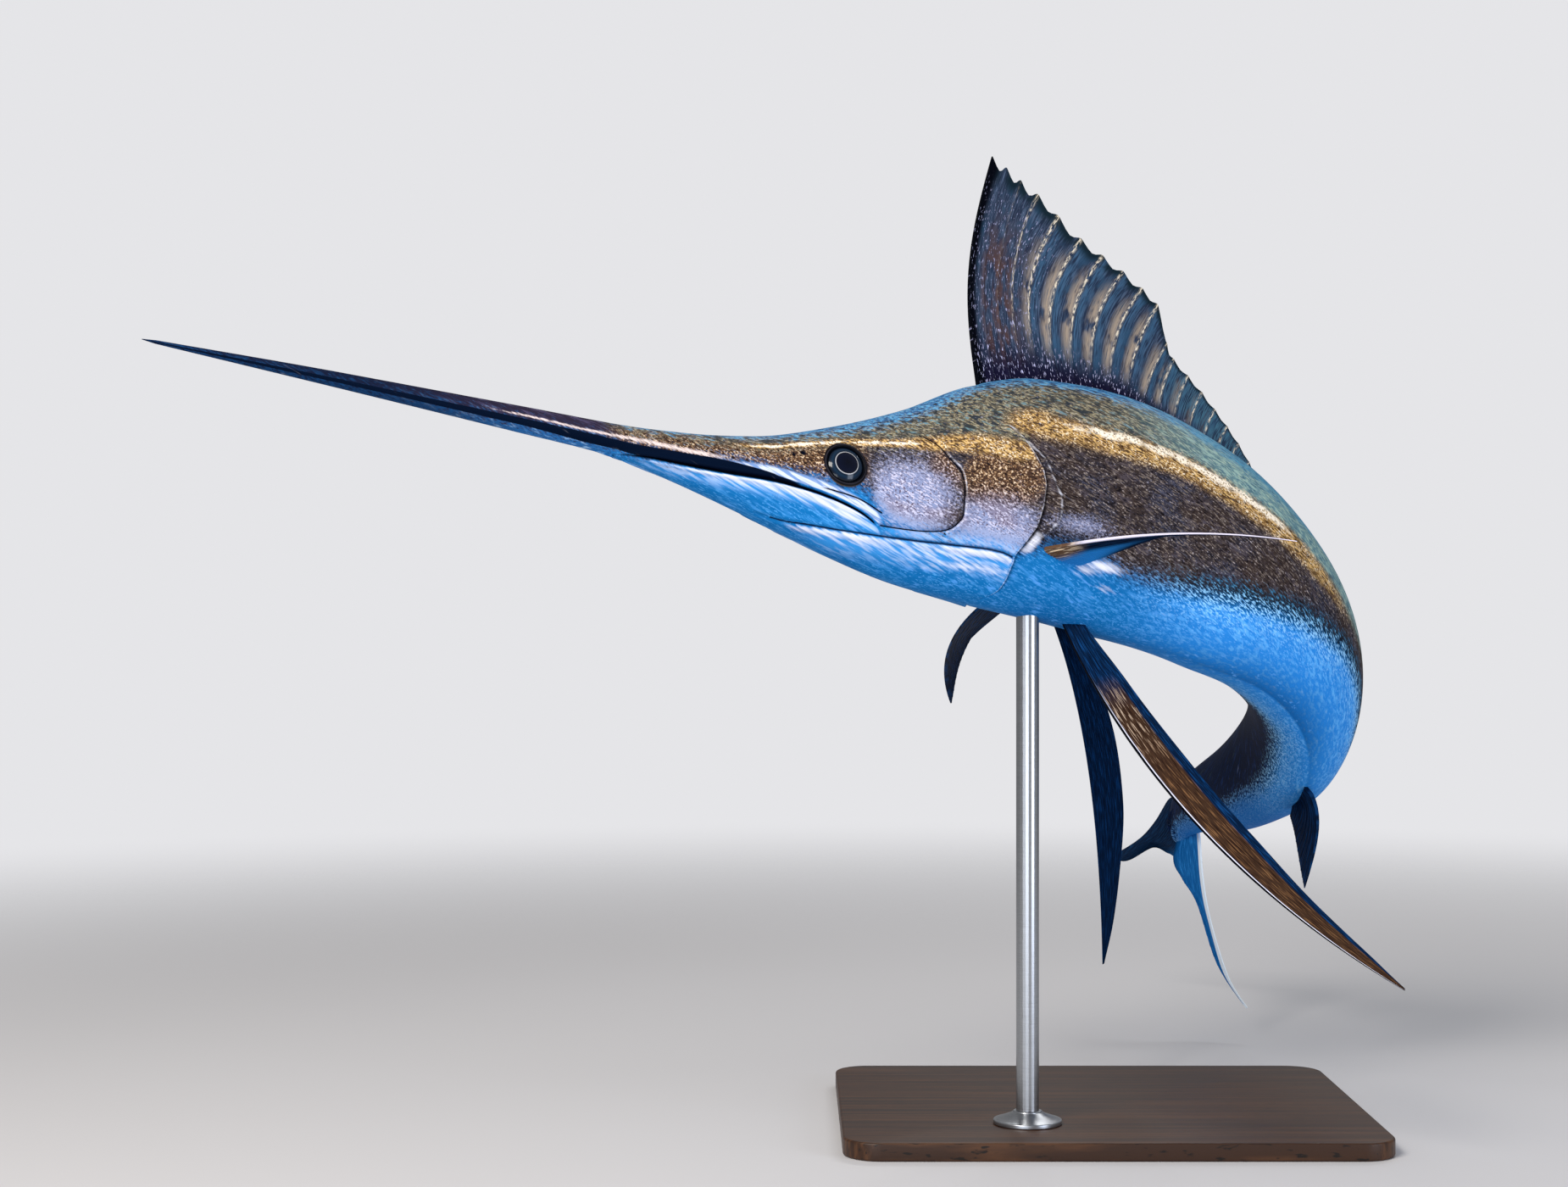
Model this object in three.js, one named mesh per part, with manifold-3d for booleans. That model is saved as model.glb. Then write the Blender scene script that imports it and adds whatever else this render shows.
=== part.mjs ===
// A leaping billfish, a marlin, as a still life-size display model on a plain stand.
// Millimetres, +Z up. The origin is the middle of the base's underside.
// The bill points to -X and a little to -Y, and the trunk bends so that the tail swings away to +Y.
import * as THREE from 'three';
import { mergeVertices } from 'three/addons/utils/BufferGeometryUtils.js';
import Module from 'manifold-3d';

const wasm = await Module();
wasm.setup();

// Lengths along the fish. Stations count from the gill opening, negative toward the bill.
const BILL = 540;
const JAW = 585;
const TRUNK = 1205;
const GAP = 0.3;

// Where the gill opening lies above the base, and how the head is turned there, in degrees
const GILL = new THREE.Vector3(-88, -100, 776);
const HEADING = 28.4;
const SLOPE = 8;
const BANK = 14.6;

// How the trunk bends behind the gills, in degrees for each 100 mm, at these stations
const BEND_AT = [0, 140, 318, 508, 686, 876, 1054, TRUNK];
const BEND_SIDE = [-1.5, 1.7, 9.9, 18.8, 8.4, -1.4, -1.2, 0];
const BEND_DOWN = [2.8, 5.6, 5.8, -1.4, -8.7, -6.9, 9.8, 58];
const BEND_ROLL = [0.9, -2.8, -4.5, -3.6, -4.5, -5, -2.3, 4];

// The body's outline: station, height of the back, height of the belly, half the width
const OUTLINE = [
  [-JAW - BILL, 3.5, 0.5, 1.5],
  [-900, 6, -12, 8],
  [-700, 6, -24, 13],
  [-JAW, 5, -31, 19],
  [-500, 9, -49, 27],
  [-400, 22, -76, 38],
  [-300, 51, -106, 50],
  [-200, 90, -128, 63],
  [-100, 140, -138, 76],
  [0, 167, -144, 87],
  [110, 173, -150, 95],
  [260, 160, -150, 96],
  [400, 133, -134, 90],
  [530, 112, -119, 80],
  [670, 90, -103, 67],
  [810, 73, -78, 52],
  [950, 55, -63, 37],
  [1090, 37, -46, 27],
  [1150, 30, -34, 20],
  [TRUNK, 24, -25, 9],
];
const AROUND = 32;

// Stations where the body is parted
const BILL_END = -440;
const HEAD_END = 8;
const FRONT_END = 400;
const MIDDLE_END = 720;
const REAR_END = 1040;

// The line of the mouth: station, height above the spine, half the opening of the gape
const MOUTH = [
  [-630, -38, 0.3],
  [-580, -31.5, 0.3],
  [-540, -33, 0.6],
  [-500, -36, 1],
  [-450, -38.5, 1.4],
  [-400, -40, 1.5],
  [-350, -46, 1.2],
  [-300, -58, 0.8],
  [-262, -75, 0.5],
  [-240, -100, 0.3],
  [-222, -160, 0.3],
];
const MOUTH_CORNER = -262;
const LIP = 2.6;

const EYE = { station: -303, angle: 77, radius: 25, bulge: 13, depth: 6 };
const LID = 3;
const NOSTRILS = [
  { station: -354, angle: 63, radius: 3.6 },
  { station: -366, angle: 66, radius: 2.4 },
];

// A gill cover: angle from the back in degrees, its front station, its rear station
const COVER = [
  [60, -192, -126],
  [66, -180, -82],
  [76, -167, -60],
  [90, -152, -43],
  [102, -150, -43],
  [112, -153, -50],
  [122, -176, -63],
  [128, -186, -70],
  [133, -196, -77],
];
const COVER_THICK = 9;
const COVER_LIFT = { front: 0.8, rear: 3.4 };
const COVER_CREASE = 2;
const GILL_SLIT = 2.4;

const rad = THREE.MathUtils.degToRad;
const lerp = THREE.MathUtils.lerp;

// A curve through knots that keeps their rises and falls: cubic pieces with limited slopes
function through(xs, ys) {
  const last = xs.length - 1;
  const width = xs.slice(1).map((x, i) => x - xs[i]);
  const slope = width.map((w, i) => (ys[i + 1] - ys[i]) / w);
  const tangent = xs.map((_, i) => {
    if (i === 0) return slope[0];
    if (i === last) return slope[last - 1];
    const before = slope[i - 1];
    const after = slope[i];
    if (before * after <= 0) return 0;
    const near = 2 * width[i] + width[i - 1];
    const far = width[i] + 2 * width[i - 1];
    return (near + far) / (near / before + far / after);
  });
  return (x) => {
    const at = THREE.MathUtils.clamp(x, xs[0], xs[last]);
    let i = 0;
    while (i < last - 1 && at >= xs[i + 1]) i += 1;
    const t = (at - xs[i]) / width[i];
    const s = 1 - t;
    return (1 + 2 * t) * s * s * ys[i] + t * s * s * width[i] * tangent[i]
      + t * t * (3 - 2 * t) * ys[i + 1] - t * t * s * width[i] * tangent[i + 1];
  };
}

const column = (table, i) => through(table.map((row) => row[0]), table.map((row) => row[i]));
const backAt = column(OUTLINE, 1);
const bellyAt = column(OUTLINE, 2);
const widthAt = column(OUTLINE, 3);
const mouthAt = column(MOUTH, 1);
const gapeAt = column(MOUTH, 2);

// The spine: at every step a point, the way to the tail, the fish's left and the way up its back
const STEP = 10;

function runSpine() {
  const bends = [BEND_SIDE, BEND_DOWN, BEND_ROLL].map((bend) => through(BEND_AT, bend));
  const heading = rad(HEADING);
  const slope = rad(SLOPE);
  let tail = new THREE.Vector3(Math.cos(heading), Math.sin(heading), 0).multiplyScalar(Math.cos(slope));
  tail.z = -Math.sin(slope);
  let left = new THREE.Vector3(Math.sin(heading), -Math.cos(heading), 0).applyAxisAngle(tail, -rad(BANK));
  const at = GILL.clone();
  const frames = [{ at: at.clone(), tail, left, up: left.clone().cross(tail) }];
  for (let s = STEP / 2; s < TRUNK; s += STEP) {
    const [side, down, roll] = bends.map((bend) => rad(bend(s)) * STEP / 100);
    const up = left.clone().cross(tail);
    const turn = up.multiplyScalar(side).addScaledVector(left, -down).addScaledVector(tail, roll);
    const angle = turn.length();
    turn.normalize();
    const next = tail.clone().applyAxisAngle(turn, angle);
    left = left.clone().applyAxisAngle(turn, angle);
    at.addScaledVector(tail.clone().add(next).normalize(), STEP);
    tail = next;
    frames.push({ at: at.clone(), tail, left, up: left.clone().cross(tail) });
  }
  return frames;
}

const spine = runSpine();

function frameAt(station) {
  const x = THREE.MathUtils.clamp(station / STEP, 0, spine.length - 1.001);
  const i = Math.floor(x);
  const [a, b] = [spine[i], spine[i + 1]];
  const mix = x - i;
  const tail = a.tail.clone().lerp(b.tail, mix).normalize();
  const left = a.left.clone().lerp(b.left, mix);
  left.addScaledVector(tail, -left.dot(tail)).normalize();
  const at = a.at.clone().lerp(b.at, mix);
  const beyond = station < 0 ? station : Math.max(0, station - TRUNK);
  at.addScaledVector(tail, beyond);
  return { at, tail, left, up: left.clone().cross(tail) };
}

// A point of the body's section: across to the left, and up from the spine
function sectionPoint(station, across, height) {
  const f = frameAt(station);
  return f.at.addScaledVector(f.left, across).addScaledVector(f.up, height);
}

// A point of the skin. The angle runs from the back over the left flank to the belly.
function skinPoint(station, angle, grow = 0, share = 1) {
  const back = backAt(station);
  const belly = bellyAt(station);
  const tall = ((back - belly) / 2 + grow) * share;
  const wide = (widthAt(station) + grow) * share;
  return sectionPoint(station, wide * Math.sin(angle), (back + belly) / 2 + tall * Math.cos(angle));
}

// The angle at which the skin has a height above the spine
function angleOfHeight(station, height) {
  const middle = (backAt(station) + bellyAt(station)) / 2;
  const tall = (backAt(station) - bellyAt(station)) / 2;
  return Math.acos(THREE.MathUtils.clamp((height - middle) / tall, -1, 1));
}

// Solids and their cuts
function solidOf(geometry) {
  const plain = geometry.clone();
  plain.deleteAttribute('normal');
  plain.deleteAttribute('uv');
  const merged = mergeVertices(plain, 1e-4);
  const triVerts = new Uint32Array(merged.index.array);
  const vertProperties = new Float32Array(merged.attributes.position.array);
  return new wasm.Manifold(new wasm.Mesh({ numProp: 3, vertProperties, triVerts }));
}

function largest(solid) {
  return solid.decompose().reduce((best, piece) => (piece.volume() > best.volume() ? piece : best));
}

function geometryOf(solid) {
  const mesh = solid.getMesh();
  const geometry = new THREE.BufferGeometry();
  geometry.setAttribute('position', new THREE.BufferAttribute(new Float32Array(mesh.vertProperties), 3));
  geometry.setIndex(new THREE.BufferAttribute(new Uint32Array(mesh.triVerts), 1));
  geometry.computeVertexNormals();
  return geometry;
}

function moved(geometry, place) {
  const position = geometry.attributes.position;
  for (let i = 0; i < position.count; i += 1) {
    const to = place(position.getX(i), position.getY(i), position.getZ(i));
    position.setXYZ(i, to.x, to.y, to.z);
  }
  return geometry;
}

// The stations of the body's rings, closer where its form changes fast, with a pair at every parting
function ringStations() {
  const partings = [BILL_END, HEAD_END, FRONT_END, MIDDLE_END, REAR_END];
  const ends = [-JAW - BILL, ...partings, TRUNK];
  const list = [];
  for (let k = 0; k < ends.length - 1; k += 1) {
    const from = ends[k] + (k > 0 ? GAP / 2 : 0);
    const to = ends[k + 1] - (k < partings.length ? GAP / 2 : 0);
    const spacing = [68, 28, 35, 35, 35, 27][k];
    const count = Math.round((to - from) / spacing);
    for (let i = 0; i <= count; i += 1) list.push(lerp(from, to, i / count));
  }
  return list;
}

const rings = ringStations();

// The body between two stations, or all of it grown a little as a cutter
function bodySolid(from, to, grow = 0) {
  const stations = rings.filter((s) => s >= from - GAP && s <= to + GAP);
  const inside = stations.filter((s) => s > from && s < to);
  const list = grow > 0 ? [...inside.slice(0, -1), inside.at(-1) + grow] : inside;
  const count = list.length - 1;
  const geometry = new THREE.CylinderGeometry(1, 1, 1, AROUND, count);
  return solidOf(moved(geometry, (x, y, z) => {
    const station = list[Math.round((0.5 + y) * count)];
    return skinPoint(station, Math.atan2(x, z), grow, Math.min(1, Math.hypot(x, z)));
  }));
}

// A thin blade over a grid of two shares, with both faces split alike and a closed rim
function blade(point, halfThick, us, vs) {
  const positions = [];
  const delta = 1e-3;
  for (const side of [1, -1]) {
    for (const v of vs) {
      for (const u of us) {
        const along = point(u + delta, v).sub(point(u - delta, v));
        const outward = point(u, v + delta).sub(point(u, v - delta));
        const normal = along.cross(outward).normalize();
        const at = point(u, v).addScaledVector(normal, side * halfThick(u, v, side));
        positions.push(at.x, at.y, at.z);
      }
    }
  }
  const wide = us.length;
  const back = wide * vs.length;
  const index = [];
  const id = (i, j) => j * wide + i;
  for (let j = 0; j < vs.length - 1; j += 1) {
    for (let i = 0; i < wide - 1; i += 1) {
      const [a, b, c, d] = [id(i, j), id(i + 1, j), id(i + 1, j + 1), id(i, j + 1)];
      index.push(a, b, c, a, c, d);
      index.push(back + a, back + c, back + b, back + a, back + d, back + c);
    }
  }
  const rim = [];
  for (let i = 0; i < wide - 1; i += 1) rim.push(id(i, 0));
  for (let j = 0; j < vs.length - 1; j += 1) rim.push(id(wide - 1, j));
  for (let i = wide - 1; i > 0; i -= 1) rim.push(id(i, vs.length - 1));
  for (let j = vs.length - 1; j > 0; j -= 1) rim.push(id(0, j));
  rim.forEach((a, k) => {
    const b = rim[(k + 1) % rim.length];
    index.push(a, back + a, back + b, a, back + b, b);
  });
  const geometry = new THREE.BufferGeometry();
  geometry.setAttribute('position', new THREE.Float32BufferAttribute(positions, 3));
  geometry.setIndex(index);
  return geometry;
}

const shares = (count) => Array.from({ length: count + 1 }, (_, i) => i / count);

const bodyCutter = bodySolid(-JAW - BILL - 1, TRUNK + 1, GAP);
const trimmed = (solid) => largest(solid.subtract(bodyCutter));

// The mouth: a thin ribbon that parts the lower jaw and opens a little at the skin
const MOUTH_REACH = 130;
const mouthRows = [[-1, MOUTH_REACH], [-1, 1], [-1, -6], [1, -6], [1, 1], [1, MOUTH_REACH]];

function mouthCutter() {
  const stations = [];
  for (let s = MOUTH[0][0]; s <= MOUTH.at(-1)[0]; s += 24) stations.push(s);
  const across = (station, v) => {
    const i = THREE.MathUtils.clamp(Math.floor(v), 0, mouthRows.length - 2);
    const reach = ([side, out]) => side * (out === MOUTH_REACH ? out : widthAt(station) + out);
    return lerp(reach(mouthRows[i]), reach(mouthRows[i + 1]), v - i);
  };
  const point = (station, v) => sectionPoint(station, across(station, v), mouthAt(station));
  const half = (station, v) => (GAP + gapeAt(station) * (v < 1.5 || v > 3.5 ? 2 : 0.5)) / 2;
  return solidOf(blade(point, half, stations, [0, 1, 2, 3, 4, 5]));
}

const mouth = mouthCutter();

// A round bead along a path
function bead(points, radius, steps, sides) {
  const section = new THREE.Shape();
  section.absarc(0, 0, radius, 0, 2 * Math.PI, false);
  const path = new THREE.CatmullRomCurve3(points);
  const options = { steps, curveSegments: sides, bevelEnabled: false, extrudePath: path };
  return solidOf(new THREE.ExtrudeGeometry(section, options));
}

// The lips: a bead on either side of the gape, above or below it
function lips(way) {
  return [1, -1].map((side) => {
    const points = [];
    for (let s = -JAW + 20; s <= MOUTH_CORNER; s += 30) {
      const height = mouthAt(s) + way * (gapeAt(s) / 2 + LIP);
      points.push(skinPoint(s, side * angleOfHeight(s, height), -LIP * 0.35));
    }
    return bead(points, LIP, points.length, 5);
  });
}

// A gill cover and the pocket that it lies in: a patch of skin from its front line to its rear edge
const coverFront = through(COVER.map((row) => row[0]), COVER.map((row) => row[1]));
const coverRear = through(COVER.map((row) => row[0]), COVER.map((row) => row[2]));

function coverPatch(side, spread, crease, slit, deep, high) {
  const point = (u, v) => {
    const angle = lerp(COVER[0][0], COVER.at(-1)[0], v);
    const station = lerp(coverFront(angle) - crease, coverRear(angle) + slit, u);
    return skinPoint(station, side * rad(angle + (2 * v - 1) ** 9 * spread));
  };
  const thick = (u, v, face) => (
    face === -side ? lerp(COVER_LIFT.front, COVER_LIFT.rear, u) + high : COVER_THICK + deep);
  return solidOf(blade(point, thick, shares(5), shares(11)));
}

// A lens that lies in the skin: the eye, or its socket when grown
function lens(spot, side, grow) {
  const out = skinOutward(spot.station, side * rad(spot.angle));
  const geometry = new THREE.SphereGeometry(1, 18, 8).rotateX(Math.PI / 2);
  const centre = out.at.clone().addScaledVector(out.normal, -spot.depth);
  return solidOf(moved(geometry, (x, y, z) => centre.clone()
    .addScaledVector(out.along, x * (spot.radius + grow))
    .addScaledVector(out.across, y * (spot.radius + grow))
    .addScaledVector(out.normal, z * (spot.bulge + grow))));
}

// The skin's outward way at a point, with two ways along it
function skinOutward(station, angle) {
  const at = skinPoint(station, angle);
  const along = skinPoint(station + 1, angle).sub(at).normalize();
  const round = skinPoint(station, angle + 0.01).sub(at);
  const normal = round.cross(along).normalize();
  return { at, along, across: normal.clone().cross(along), normal };
}

function lid(side) {
  const out = skinOutward(EYE.station, side * rad(EYE.angle));
  const geometry = new THREE.TorusGeometry(EYE.radius - 1, LID, 6, 18);
  return solidOf(moved(geometry, (x, y, z) => out.at.clone()
    .addScaledVector(out.along, x)
    .addScaledVector(out.across, y)
    .addScaledVector(out.normal, z)));
}

// Keels on the sides of the tail stalk, long spindles that lie half in the skin
const KEEL = { station: 1162, angles: [76, 104], length: 66, height: 7, out: 6 };

function keel(side, angle) {
  const out = skinOutward(KEEL.station, side * rad(angle));
  const geometry = new THREE.SphereGeometry(1, 8, 4).rotateX(Math.PI / 2);
  return solidOf(moved(geometry, (x, y, z) => out.at.clone()
    .addScaledVector(out.along, x * KEEL.length / 2)
    .addScaledVector(out.across, y * KEEL.height / 2)
    .addScaledVector(out.normal, z * KEEL.out)));
}

function nostril(spot, side) {
  const at = skinPoint(spot.station, side * rad(spot.angle));
  const geometry = new THREE.SphereGeometry(spot.radius, 10, 8);
  geometry.translate(at.x, at.y, at.z);
  return solidOf(geometry);
}

const sides = [['left', 1], ['right', -1]];

// The head: the whole front is parted by the mouth, then the bill is parted from the head
function headPieces() {
  const front = bodySolid(-JAW - BILL - 1, HEAD_END);
  const [upper, jaw] = front.subtract(mouth).decompose().sort((a, b) => b.volume() - a.volume());
  const covers = sides.map(([, side]) => coverPatch(side, 0, 0, 0, 0, 0));
  let head = lips(1).reduce((sum, lip) => sum.add(lip), upper);
  let lowerJaw = lips(-1).reduce((sum, lip) => sum.add(lip), jaw);
  for (const [, side] of sides) {
    head = head.add(lid(side)).subtract(lens(EYE, side, GAP));
    head = head.subtract(coverPatch(side, 0.8, COVER_CREASE, GILL_SLIT, GAP, 2));
    for (const spot of NOSTRILS) head = head.subtract(nostril(spot, side));
  }
  head = head.subtract(mouth);
  lowerJaw = largest(lowerJaw.subtract(mouth));
  const cut = new THREE.BoxGeometry(200, GAP, 200);
  const f = frameAt(BILL_END);
  const turn = new THREE.Matrix4().makeBasis(f.left, f.tail, f.up).setPosition(f.at);
  const parted = head.subtract(solidOf(cut.applyMatrix4(turn))).decompose();
  const [skull, bill] = parted.sort((a, b) => b.volume() - a.volume());
  return { skull, bill, lowerJaw, covers };
}

// Rays stand up from a fin's membrane: each has a foot, a crest and another foot
const RAY_HALF = 0.28;

function rayColumns(rays) {
  const columns = [];
  for (let ray = 0; ray < rays; ray += 1) {
    for (const part of [-RAY_HALF, 0, RAY_HALF]) columns.push((ray + part) / (rays - 1));
  }
  return columns.filter((u) => u >= 0 && u <= 1);
}

// How far a place is up a ray, from 0 on the membrane to 1 on the crest
function rayRise(u, rays) {
  const x = u * (rays - 1);
  return Math.max(0, 1 - Math.abs(x - Math.round(x)) / RAY_HALF);
}

// The half thickness of a fin, from its root's to its tip's, with the ridge of each ray
function finHalf({ rays, membrane, ridge }, u, v) {
  const out = Math.min(1, Math.max(0, v)) ** 0.6;
  return lerp(membrane[0], membrane[1], out) / 2 + lerp(ridge[0], ridge[1], out) * rayRise(u, rays);
}

// A fin on the ridge of the back or the belly, whose rays rise from their base stations
function ridgeFin(fin) {
  const { from, to, height, lean, bow, sway = () => 0, rays, rows, way, sunk, scallop } = fin;
  const root = way > 0 ? backAt : bellyAt;
  const point = (u, v) => {
    const foot = lerp(from, to, u);
    const share = Math.max(0, v);
    const station = foot + lean(foot) * share + bow(foot) * Math.sin(Math.PI * share);
    const margin = 1 - scallop * (1 - rayRise(u, rays)) * share ** 3;
    const aside = sway(foot) * Math.sin(Math.PI * share ** 0.7);
    return sectionPoint(station, aside, root(station) + way * (v < 0 ? v * sunk : v * height(foot) * margin));
  };
  const half = (u, v) => finHalf(fin, u, v);
  return trimmed(solidOf(blade(point, half, rayColumns(rays), [-1, ...shares(rows)])));
}

// A fin between a leading and a trailing edge that both run from its root to its tip.
// The fan is the share of the trailing edge at which the last ray ends, and 1 takes every ray to the tip.
function spanFin(fin) {
  const { lead, trail, fan, rays, rows } = fin;
  const point = (u, v) => {
    const start = THREE.MathUtils.clamp(u, 0, 1);
    const out = THREE.MathUtils.clamp(v, 0, 1);
    const across = fan < 1 ? start ** (1 - out) : start;
    const along = v * lerp(1, fan, start);
    return lead(along).lerp(trail(along), across);
  };
  const edges = (u) => 0.4 + 0.6 * (4 * u * (1 - u)) ** 0.4;
  return trimmed(solidOf(blade(point, (u, v) => finHalf(fin, u, v) * edges(u), rayColumns(rays), rows)));
}

// First dorsal fin: heights and lean of its rays at their base stations
const DORSAL = {
  from: -82, to: 385, rays: 21, rows: 4, sunk: 14, way: 1, scallop: 0.04,
  membrane: [5, 1.2], ridge: [2.2, 0.5],
};
DORSAL.height = through(
  [-82, -35, -8, 32, 98, 128, 150, 224, 340, 385],
  [309, 275, 256, 212, 177, 163, 116, 79, 36, 9],
);
DORSAL.lean = through([-82, -8, 54, 110, 140, 176, 240, 385], [30, 26, 36, 42, 38, 20, 18, 10]);
DORSAL.bow = through([-82, -8, 100, 150, 385], [-24, -28, -13, -4, -2]);

const flat = (value) => () => value;

const SMALL_FIN = { rays: 5, rows: 3, sunk: 10, scallop: 0.04, membrane: [2.6, 1], ridge: [1, 0.3] };
const SECOND_DORSAL = { ...SMALL_FIN, from: 1052, to: 1106, way: 1 };
SECOND_DORSAL.height = through([1052, 1064, 1106], [30, 36, 11]);
SECOND_DORSAL.lean = through([1052, 1106], [30, 50]);
SECOND_DORSAL.bow = flat(-4);

const ANAL = {
  from: 644, to: 708, rays: 8, rows: 4, sunk: 14, way: -1, scallop: 0.04,
  membrane: [4.4, 1.2], ridge: [1.6, 0.4],
};
ANAL.height = through([644, 656, 680, 708], [121, 100, 36, 9]);
ANAL.lean = through([644, 708], [66, 20]);
ANAL.bow = through([644, 708], [-12, 0]);
ANAL.sway = through([644, 700], [15, 0]);

const SECOND_ANAL = { ...SMALL_FIN, from: 930, to: 988, way: -1 };
SECOND_ANAL.height = through([930, 943, 988], [30, 36, 12]);
SECOND_ANAL.lean = through([930, 988], [30, 54]);
SECOND_ANAL.bow = flat(-4);

// A direction in the fish's own frame at a station: to the tail, to one side, up
function wayAt(station, side, [tail, out, up]) {
  const f = frameAt(station);
  return f.tail.clone().multiplyScalar(tail).addScaledVector(f.left, side * out).addScaledVector(f.up, up);
}

// The edge of a span fin: it starts along one way and turns evenly into another
function edge(root, first, last, length) {
  return (v) => root.clone()
    .addScaledVector(first, length * (v - v * Math.abs(v) / 2))
    .addScaledVector(last, length * v * Math.abs(v) / 2);
}

// Paired fins: where the root lies, the ways in which the leading edge starts and ends, and
// the ways of the chord at the root and beyond the turn
const PECTORAL = {
  station: -12, angle: 128, length: 350, chord: 50, turn: 2.2, fan: 0.35, rays: 5,
  membrane: [10, 1.4], ridge: [1.6, 0.4],
  taper: through([0, 0.25, 0.5, 0.75, 0.9, 1], [1.05, 1.1, 0.92, 0.6, 0.32, 0.05]),
};
const PELVIC = {
  station: 60, angle: 171, chord: 48, turn: 1, fan: 1, rays: 3, membrane: [4.4, 1.2], ridge: [1.8, 0.4],
  taper: through([0, 0.15, 0.4, 0.6, 0.8, 0.92, 1], [0.55, 0.85, 1, 0.95, 0.66, 0.38, 0.06]),
};

// The pectoral fins spread, the left one swung back along the flank and the right one hanging
const PECTORALS = {
  left: {
    ...PECTORAL, first: [0.38, 0.92, -0.03], last: [0.2, 0.91, -0.35],
    rootChord: [0.84, -0.48, -0.24], tipChord: [0.65, -0.71, 0.28],
  },
  right: {
    ...PECTORAL, station: -4, angle: 135, first: [0.12, 0.99, -0.07], last: [0.66, 0.72, -0.21],
    rootChord: [0.85, -0.47, 0.23], tipChord: [0.88, 0.29, 0.38],
  },
};

// The pelvic fins are two long narrow blades, the left one swung out and back
const PELVICS = {
  left: {
    ...PELVIC, length: 631, first: [0.21, 0.35, -0.91], last: [0.75, 0.43, -0.5],
    rootChord: [0.9, 0.39, 0.18], tipChord: [0.14, -0.21, 0.97],
  },
  right: {
    ...PELVIC, length: 570, first: [0.69, 0.64, -0.32], last: [0.22, 0.29, -0.93],
    rootChord: [0.99, 0.01, -0.17], tipChord: [0.8, -0.21, 0.56],
  },
};

function pairedFin(fin, side, sunk) {
  const root = skinPoint(fin.station, side * rad(fin.angle));
  const ways = [fin.first, fin.last, fin.rootChord, fin.tipChord];
  const [first, last, rootChord, tipChord] = ways.map((way) => wayAt(fin.station, side, way).normalize());
  const lead = edge(root.clone().addScaledVector(rootChord, -fin.chord / 2), first, last, fin.length);
  const turnAt = (v) => THREE.MathUtils.clamp(v * fin.turn, 0, 1);
  const chordWay = (v) => rootChord.clone().lerp(tipChord, turnAt(v)).normalize();
  const trail = (v) => lead(v).addScaledVector(chordWay(v), fin.chord * fin.taper(v));
  return spanFin({ ...fin, lead, trail, rows: [-sunk / fin.length, ...shares(8)] });
}

// Tail fin: two crescent lobes from the end of the stalk. Each lobe flexes a little to its own side, and
// the upper one's tip curls to the left.
const TAIL = {
  station: 1167, spread: 252, sweep: 179, fork: 62, bend: 23.8, yaw: 11.8, roll: -6.6,
  root: [-34, 26], fan: 0.25, rays: 7, membrane: [11, 1.2], ridge: [2, 0.5],
};
const LOBES = { upper: { way: 1, flex: -14, curl: 26 }, lower: { way: -1, flex: 9, curl: 0 } };

function tailLobe({ way, flex, curl }) {
  const f = frameAt(TAIL.station);
  const turned = (direction) => direction.clone()
    .applyAxisAngle(f.tail, rad(TAIL.roll))
    .applyAxisAngle(f.up, rad(TAIL.yaw))
    .applyAxisAngle(f.left, -rad(TAIL.bend));
  const [tail, left, rise] = [f.tail, f.left, f.up].map(turned);
  const place = (back, up) => f.at.clone().addScaledVector(tail, back).addScaledVector(rise, way * up);
  const edgeOf = (points) => {
    const curve = new THREE.SplineCurve(points.map(([back, up]) => new THREE.Vector2(back, up)));
    return (v) => {
      const share = THREE.MathUtils.clamp(v, 0, 1);
      const at = curve.getPoint(share);
      const aside = curl * share ** 5 - flex * Math.sin(Math.PI * share);
      return place(at.x, Math.max(at.y, 1)).addScaledVector(left, aside);
    };
  };
  const { sweep, spread, fork, root } = TAIL;
  const lead = edgeOf([root, [-13, 58], [46, 94], [99, 135], [158, 200], [sweep, spread]]);
  const trail = edgeOf([
    [-22, 1], [fork - 6, 1], [fork + 12, 40], [fork + 28, 90], [fork + 92, 165], [sweep + 3, spread - 2],
  ]);
  return spanFin({ ...TAIL, lead, trail, rows: shares(10) });
}

// The stand: a base plate with rounded corners, a foot and one rod up to the belly
const BASE = { length: 660, width: 520, thick: 22, corner: 45, bevel: 3 };
const FOOT = { radius: 42, height: 16 };
const ROD = { x: -102, y: -141, radius: 14 };

function basePlate() {
  const { length, width, corner, bevel, thick } = BASE;
  const x = length / 2 - bevel;
  const y = width / 2 - bevel;
  const shape = new THREE.Shape();
  shape.moveTo(-x + corner, -y);
  shape.absarc(x - corner, -y + corner, corner, -Math.PI / 2, 0, false);
  shape.absarc(x - corner, y - corner, corner, 0, Math.PI / 2, false);
  shape.absarc(-x + corner, y - corner, corner, Math.PI / 2, Math.PI, false);
  shape.absarc(-x + corner, -y + corner, corner, Math.PI, 1.5 * Math.PI, false);
  const options = {
    depth: thick - 2 * bevel, bevelThickness: bevel, bevelSize: bevel, bevelSegments: 1, curveSegments: 5,
  };
  return solidOf(new THREE.ExtrudeGeometry(shape, options).translate(0, 0, bevel));
}

function standFoot() {
  const { radius, height } = FOOT;
  const low = BASE.thick + GAP;
  const profile = [
    [0, 0], [radius, 0], [radius, 5], [radius - 4, 8],
    [ROD.radius + 4, height - 1], [ROD.radius + 3, height], [0, height],
  ].map(([x, y]) => new THREE.Vector2(x, y));
  const geometry = new THREE.LatheGeometry(profile, 24).rotateX(Math.PI / 2);
  return solidOf(geometry.translate(ROD.x, ROD.y, low));
}

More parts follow.
